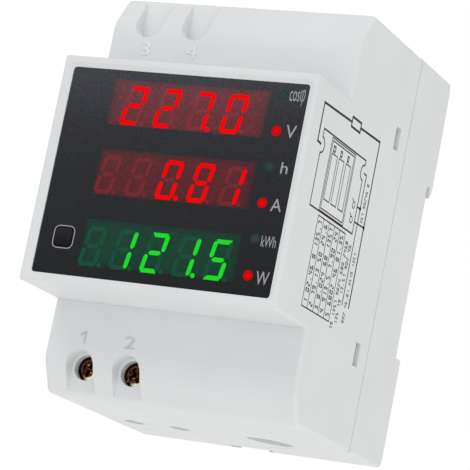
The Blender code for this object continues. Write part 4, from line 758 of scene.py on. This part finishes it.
def number_one(name, x, z, width, height):
    """A bare stem with a slanted stroke at its head."""
    art = Print(name, COVER_FACE, RAISED)
    h, w, t = height, width, height * 0.13
    art.shape([(x + w / 2, z + h / 2), (x + w / 2 - t * 0.9, z + h / 2), (x - w / 2, z + h * 0.24),
               (x - w / 2, z + h * 0.08), (x + w / 2 - t, z + h * 0.3), (x + w / 2 - t, z - h / 2),
               (x + w / 2, z - h / 2)])
    art.done(relief_painted_shade)


number_one("terminal_number_1", -19.3 * MM, -29.45 * MM, 1.25 * MM, 2.45 * MM)

# The other numbers: middle in X and Z, width and height, in millimetres
for sign, x, z, width, height, look in (
        ("2", -9.0, -29.45, 2.2, 2.4, relief_painted_shade),
        ("3", -18.8, 29.35, 2.0, 2.65, relief_painted_light),
        ("4", -8.6, 29.35, 2.15, 2.5, relief_painted_light)):
    written(f"terminal_number_{sign}", sign, (x * MM, z * MM), (width * MM, height * MM), COVER_FACE,
            look, RAISED, weight=-0.008)


# Plain line drawing on the right side

def half_circle(u, w, radius):
    """Its points bulge to the back, or with a radius below 0 to the front."""
    turns = [math.pi * (i / 10 - 0.5) for i in range(11)]
    return [on_side(u + radius * math.cos(t), w + radius * math.sin(t)) for t in turns]


drawing = Print("side_print", SIDE_FACE, SIDE_INK)
bold, plain, thin = 0.48 * MM, 0.34 * MM, 0.25 * MM
drawing.line([on_side(6.1, 29.9), on_side(4.2, 29.7), on_side(4.2, 22.3), on_side(18.1, 21.95)], bold)
drawing.line([on_side(22.6, 21.85), on_side(33, 21.6), on_side(33, 55.2)], bold)
drawing.line([on_side(28.1, 29.3), on_side(29.6, 29.4), on_side(29.6, 55.3)], plain)
drawing.box(*on_side(18.1, 22.8), *on_side(22.6, 20.9), bold)
drawing.line([on_side(6.2, 26.8), *half_circle(6.2, 29.9, 1.5), on_side(6.2, 41.5), on_side(28, 41.5),
              *half_circle(28, 29.3, -1.5), on_side(28, 26.8)], plain, closed=True)
drawing.box(*on_side(10.7, 41.3), *on_side(22.8, 27.2), thin)
drawing.box(*on_side(11.2, 40.8), *on_side(22.3, 27.7), thin)
for u0, u1 in ((11.8, 14.5), (15.4, 17.9), (19.0, 21.4)):
    drawing.box(*on_side(u0, 38.9), *on_side(u1, 30.0), thin)
    drawing.box(*on_side(u0 + 0.3, 29.5), *on_side(u1 - 1.5, 28.5), plain)
for w in (36.2, 39.1):
    drawing.hoop(*on_side(26.2, w), 0.62 * MM, thin)
    drawing.line([on_side(25.0, w - 1.1), on_side(25.9, w - 0.6)], thin)
for u, w, tilt in ((29.6, 36.1, 0.0), (33, 39.0, 0.1)):
    drawing.line([on_side(28, w + tilt), on_side(u, w)], plain)
    drawing.disc(*on_side(u, w), 0.45 * MM)
grid_u, grid_w = (11, 13.7, 16.6, 19.3, 22, 24.8), (42.3, 59.6)
for u in grid_u:
    drawing.line([on_side(u, w) for w in grid_w], thin)
for w in grid_w:
    drawing.line([on_side(grid_u[0] - 0.1, w), on_side(grid_u[-1] + 0.1, w)], thin)
drawing.done(ink_dark)


# Rows of plain numbers, which read upward

def number_row(art, signs, u, w, height):
    """Small seven-bar figures along Z, with their heads to the front; u, w is where they start."""
    shapes = bars(0.52 * height, height, 0.2 * height, 0.0)
    foot, start = on_side(u, w)
    foot += height / 2
    for turn, sign in enumerate(signs):
        z = start + turn * height * 0.67
        if sign == ".":
            art.disc(foot - 0.1 * height, z + 0.3 * height, 0.12 * height, 8)
            continue
        for key in DIGITS[sign]:
            art.shape([(foot - up, z + along) for along, up in shapes[key]])


rows = Print("side_rows", SIDE_FACE, SIDE_INK)

# Start of each row on the right side and height of its figures, in millimetres
for u, w, height, signs in (
        (12.35, 58.9, 1.6, "1 02.46 8 135.7"), (15.15, 58.9, 1.6, "2 79.13 50 24.6"),
        (17.95, 58.9, 1.6, "3 8.024 68 1357"), (20.65, 58.9, 1.6, "4 913.5 7.90 24"),
        (23.4, 58.9, 1.6, "5 6802 46 81.35"), (26.3, 60.8, 1.25, "79 1357 9024 680 2468"),
        (28.1, 59.4, 1.25, "135 79 13.57 902 46"), (31.3, 58.4, 1.1, "802 46.81 3579 1357"),
        (31.3, 38.6, 1.1, "357 90246 8")):
    number_row(rows, signs, u, w, height * MM)
rows.done(ink_dark)


# Screws, finer than the CAD's: domed head with a cross recess, and a threaded shank

def recess_depth(a, b, head, height):
    """Depth of the cross recess at a spot of the head."""
    reach, width, deep = head * 0.68, head * 0.3, height * 0.42
    out = 0.0
    for along, across in ((abs(a), abs(b)), (abs(b), abs(a))):
        inside = min((width / 2 - across) / (width * 0.2), (reach - along) / (reach * 0.12), 1.0)
        if inside > 0:
            out = max(out, deep * (1 - 0.45 * along / reach) * inside)
    return out


def screw(node, body, slot, head, height, shank, pitch, around, tilt):
    """A screw in place of the CAD's, whose head looks to the front. It is built ring by ring from its
    crown to its tip. head and shank are radii, and tilt turns the cross."""
    x, _, z = middle_of(node)
    crown, tip = (corner.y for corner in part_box(node))
    under = crown + height
    verts, faces = [(x, crown + recess_depth(0, 0, head, height), z)], []
    turns = [2 * math.pi * i / around for i in range(around)]

    def ring(radii, ys):
        start = len(verts)
        verts.extend((x + r * math.cos(t), y, z + r * math.sin(t)) for t, r, y in zip(turns, radii, ys))
        for i in range(around):
            j = (i + 1) % around
            if start == 1:
                faces.append((0, 1 + i, 1 + j))
            else:
                faces.append((start - around + i, start - around + j, start + j, start + i))

    steps = around // 4
    for step in range(1, steps + 1):
        r = head * 0.94 * step / steps
        dome = crown + 0.12 * MM * (r / head) ** 2
        ring([r] * around, [dome + recess_depth(r * math.cos(t + tilt), r * math.sin(t + tilt), head, height)
                            for t in turns])
    for r, y in ((head * 0.985, crown + 0.22 * MM), (head, crown + 0.4 * MM), (head, under), (shank, under)):
        ring([r] * around, [y] * around)

    # Thread, which runs out before the tip
    deep, y = pitch * 0.32, under + pitch * 0.3
    while y < tip - 0.5 * MM:
        cycle = [(y / pitch - t / (2 * math.pi)) % 1.0 for t in turns]
        ring([shank - deep * abs(2 * c - 1) for c in cycle], [y] * around)
        y += pitch / 6
    ring([shank - deep] * around, [tip - 0.3 * MM] * around)
    ring([shank * 0.7] * around, [tip] * around)
    last = len(verts)
    verts.append((x, tip, z))
    faces.extend((last - around + i, last - around + (i + 1) % around, last) for i in range(around))
    piece = new_mesh(node + "_detail", verts, faces, smooth=True)
    piece.data.set_sharp_from_angle(angle=math.radians(38))
    dress(piece, LOOKS[slot], body=body)
    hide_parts(node)


for n, tilt in ((1, 0.35), (2, 1.05)):
    screw(f"terminal_screw_{n}", f"screw_{n}", "screw_zinc", head=2.28 * MM, height=2.6 * MM,
          shank=1.5 * MM, pitch=0.5 * MM, around=96, tilt=tilt)
for n in (1, 2):
    screw(f"board_screw_{n}", "housing", "steel", head=2.08 * MM, height=1.4 * MM, shank=1.1 * MM,
          pitch=0.6 * MM, around=64, tilt=0.4)


# Latch spring, finer than the CAD's: closed end turns

def coil(name, low, high, wire, turns):
    """A helix up Z in the box from low to high; the first and last turn lie flat. wire is a radius."""
    around, per_turn = 10, 28
    centre = Vector(((low.x + high.x) / 2, (low.y + high.y) / 2, 0))
    radius, height = (high.x - low.x) / 2 - wire, high.z - low.z - 2 * wire
    flat = 2 * wire * 1.02 / height

    def rise(turn):
        """Share of the height that the helix has reached."""
        if turn < 1:
            return flat * turn
        if turn > turns - 1:
            return 1 - flat * (turns - turn)
        return flat + (1 - 2 * flat) * (turn - 1) / (turns - 2)

    count = turns * per_turn
    verts, faces = [], []
    for i in range(count + 1):
        turn = turns * i / count
        angle = 2 * math.pi * turn
        outward = Vector((math.cos(angle), math.sin(angle), 0))
        middle = centre + outward * radius + Vector((0, 0, low.z + wire + height * rise(turn)))
        for j in range(around):
            bend = 2 * math.pi * j / around
            verts.append(middle + outward * wire * math.cos(bend) + Vector((0, 0, wire * math.sin(bend))))
    for i in range(count):
        for j in range(around):
            k = (j + 1) % around
            faces.append([i * around + j, i * around + k, (i + 1) * around + k, (i + 1) * around + j])
    faces += [list(range(around)), [count * around + j for j in range(around)][::-1]]
    return new_mesh(name, verts, faces, smooth=True)


low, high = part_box("latch_spring")
spring = coil("latch_spring_coil", low, high, 0.17 * MM, 7)
dress(spring, LOOKS["steel"])
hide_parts("latch_spring")
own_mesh(spring)


# Bent pins of the two chips

def chip_pins(node, point, ends_on, facing, count):
    """Pins on two opposite sides of a chip, which leave it at half its height and end in a foot on
    its board. facing is 1 where the board lies behind the chip, else -1."""
    low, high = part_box(node)
    art = Print(node + "_pins", (point, 0.0, 1))
    half_width, thickness, foot_gap = 0.2 * MM, 0.16 * MM, 0.18 * MM
    foot = (high.y if facing > 0 else low.y) + facing * foot_gap
    waist = (low.y + high.y) / 2
    first, last = (low.z, high.z) if ends_on == "x" else (low.x, high.x)
    for way, edge in ((-1, getattr(low, ends_on)), (1, getattr(high, ends_on))):
        bends = ((-0.1, waist), (0.45, waist), (0.65, foot), (1.15, foot))
        path = [(edge + way * out * MM, y) for out, y in bends]
        for i in range(count):
            middle = first + (last - first) * (i + 0.5) / count
            art.bottom, art.top = middle - half_width, middle + half_width
            art.line(path, thickness)
    art.done(LOOKS["steel"])


chip_pins("metering_chip", plan_point, "x", 1, 7)
chip_pins("driver_chip", profile_point, "z", -1, 8)


# Stage: the floor holds the object's shadow; from below it lets light and sight through

def floor_white():
    """Only a camera above the floor sees its white. Every other ray passes through."""
    look = Look("floor")
    look.set(Base_Color=look.ramp(look.noise(40.0), [(0.3, grey(0.9)), (0.7, grey(0.93))]),
             Roughness=0.9, Specular_IOR_Level=0.0)
    ray, face = look.add("ShaderNodeLightPath"), look.add("ShaderNodeNewGeometry")
    above = look.math("SUBTRACT", 1.0, (face, "Backfacing"))
    seen = look.math("MULTIPLY", above, (ray, "Is Camera Ray"))
    both = look.add("ShaderNodeMixShader")
    for socket, source in zip(both.inputs, (seen, (look.add("ShaderNodeBsdfTransparent"), "BSDF"),
                                            (look.shader, "BSDF"))):
        look.put(socket, source)
    look.put(look.end.inputs["Surface"], (both, "Shader"))
    return look.mat


def studio():
    """A world that is white to the eye and in gloss, and a little darker as light."""
    world = bpy.data.worlds.new("studio")
    world.use_nodes = True
    nodes, links = world.node_tree.nodes, world.node_tree.links
    nodes.clear()
    ray = nodes.new("ShaderNodeLightPath")
    seen = ray.outputs["Is Camera Ray"]
    for kind in ("Is Glossy Ray", "Is Transmission Ray"):
        either = nodes.new("ShaderNodeMath")
        either.operation = "MAXIMUM"
        links.new(seen, either.inputs[0])
        links.new(ray.outputs[kind], either.inputs[1])
        seen = either.outputs[0]
    mix = nodes.new("ShaderNodeMixShader")
    links.new(seen, mix.inputs[0])
    for socket, colour in zip(mix.inputs[1:], ((0.724, 0.72, 0.718, 1), WHITE)):
        ground = nodes.new("ShaderNodeBackground")
        ground.inputs["Color"].default_value = colour
        links.new(ground.outputs[0], socket)
    links.new(mix.outputs[0], nodes.new("ShaderNodeOutputWorld").inputs["Surface"])
    return world


def softbox(name, place, watts, colour=(1, 1, 1)):
    """A round lamp that looks at the meter and is seen neither itself nor in gloss."""
    data = bpy.data.lights.new(name, "AREA")
    data.color = colour
    data.shape = "DISK"
    data.size = 0.6
    data.energy = watts
    lamp = add_object(name, data)
    lamp.location = place
    way = Vector((0, -0.03, 0)) - Vector(place)
    lamp.rotation_euler = way.to_track_quat("-Z", "Y").to_euler()
    lamp.visible_camera = False
    lamp.visible_glossy = False


FLOOR_REACH = 2.0
corners = [(x * FLOOR_REACH, y * FLOOR_REACH, LOWER_END) for x, y in ((-1, -1), (1, -1), (1, 1), (-1, 1))]
floor = new_mesh("floor", corners, [(0, 1, 2, 3)])
floor.data.materials.append(floor_white())
bpy.context.scene.world = studio()
softbox("key", (-0.3, -0.7, 0.9), 2.6, (0.95, 0.98, 1))
softbox("fill_front", (0.38, -0.85, -0.3), 1.25, (0.88, 0.96, 1))
softbox("fill_below", (0.15, 0.0, -0.95), 1.7)
softbox("fill_right", (1.0, -0.2, 0.1), 1.2, (0.96, 1, 0.98))


# Camera, solved from the photograph; its angles are in degrees, azimuth 0 looks along +Y

CAMERA_PLACE = (0.2301, -0.5004, -0.1032)
AZIMUTH, ELEVATION, ROLL = 25.9886, 10.8542, 11.2512

data = bpy.data.cameras.new("camera")
data.sensor_width = 36.0
data.lens = 206.745
data.clip_start = 0.02
data.clip_end = 20.0
camera = add_object("camera", data)
camera.matrix_world = Matrix.Translation(CAMERA_PLACE)
for degrees, axis in ((AZIMUTH, "Z"), (90 + ELEVATION, "X"), (ROLL, "Z")):
    camera.matrix_world @= Matrix.Rotation(math.radians(degrees), 4, axis)
bpy.context.scene.camera = camera
bpy.context.scene.view_settings.view_transform = "Standard"
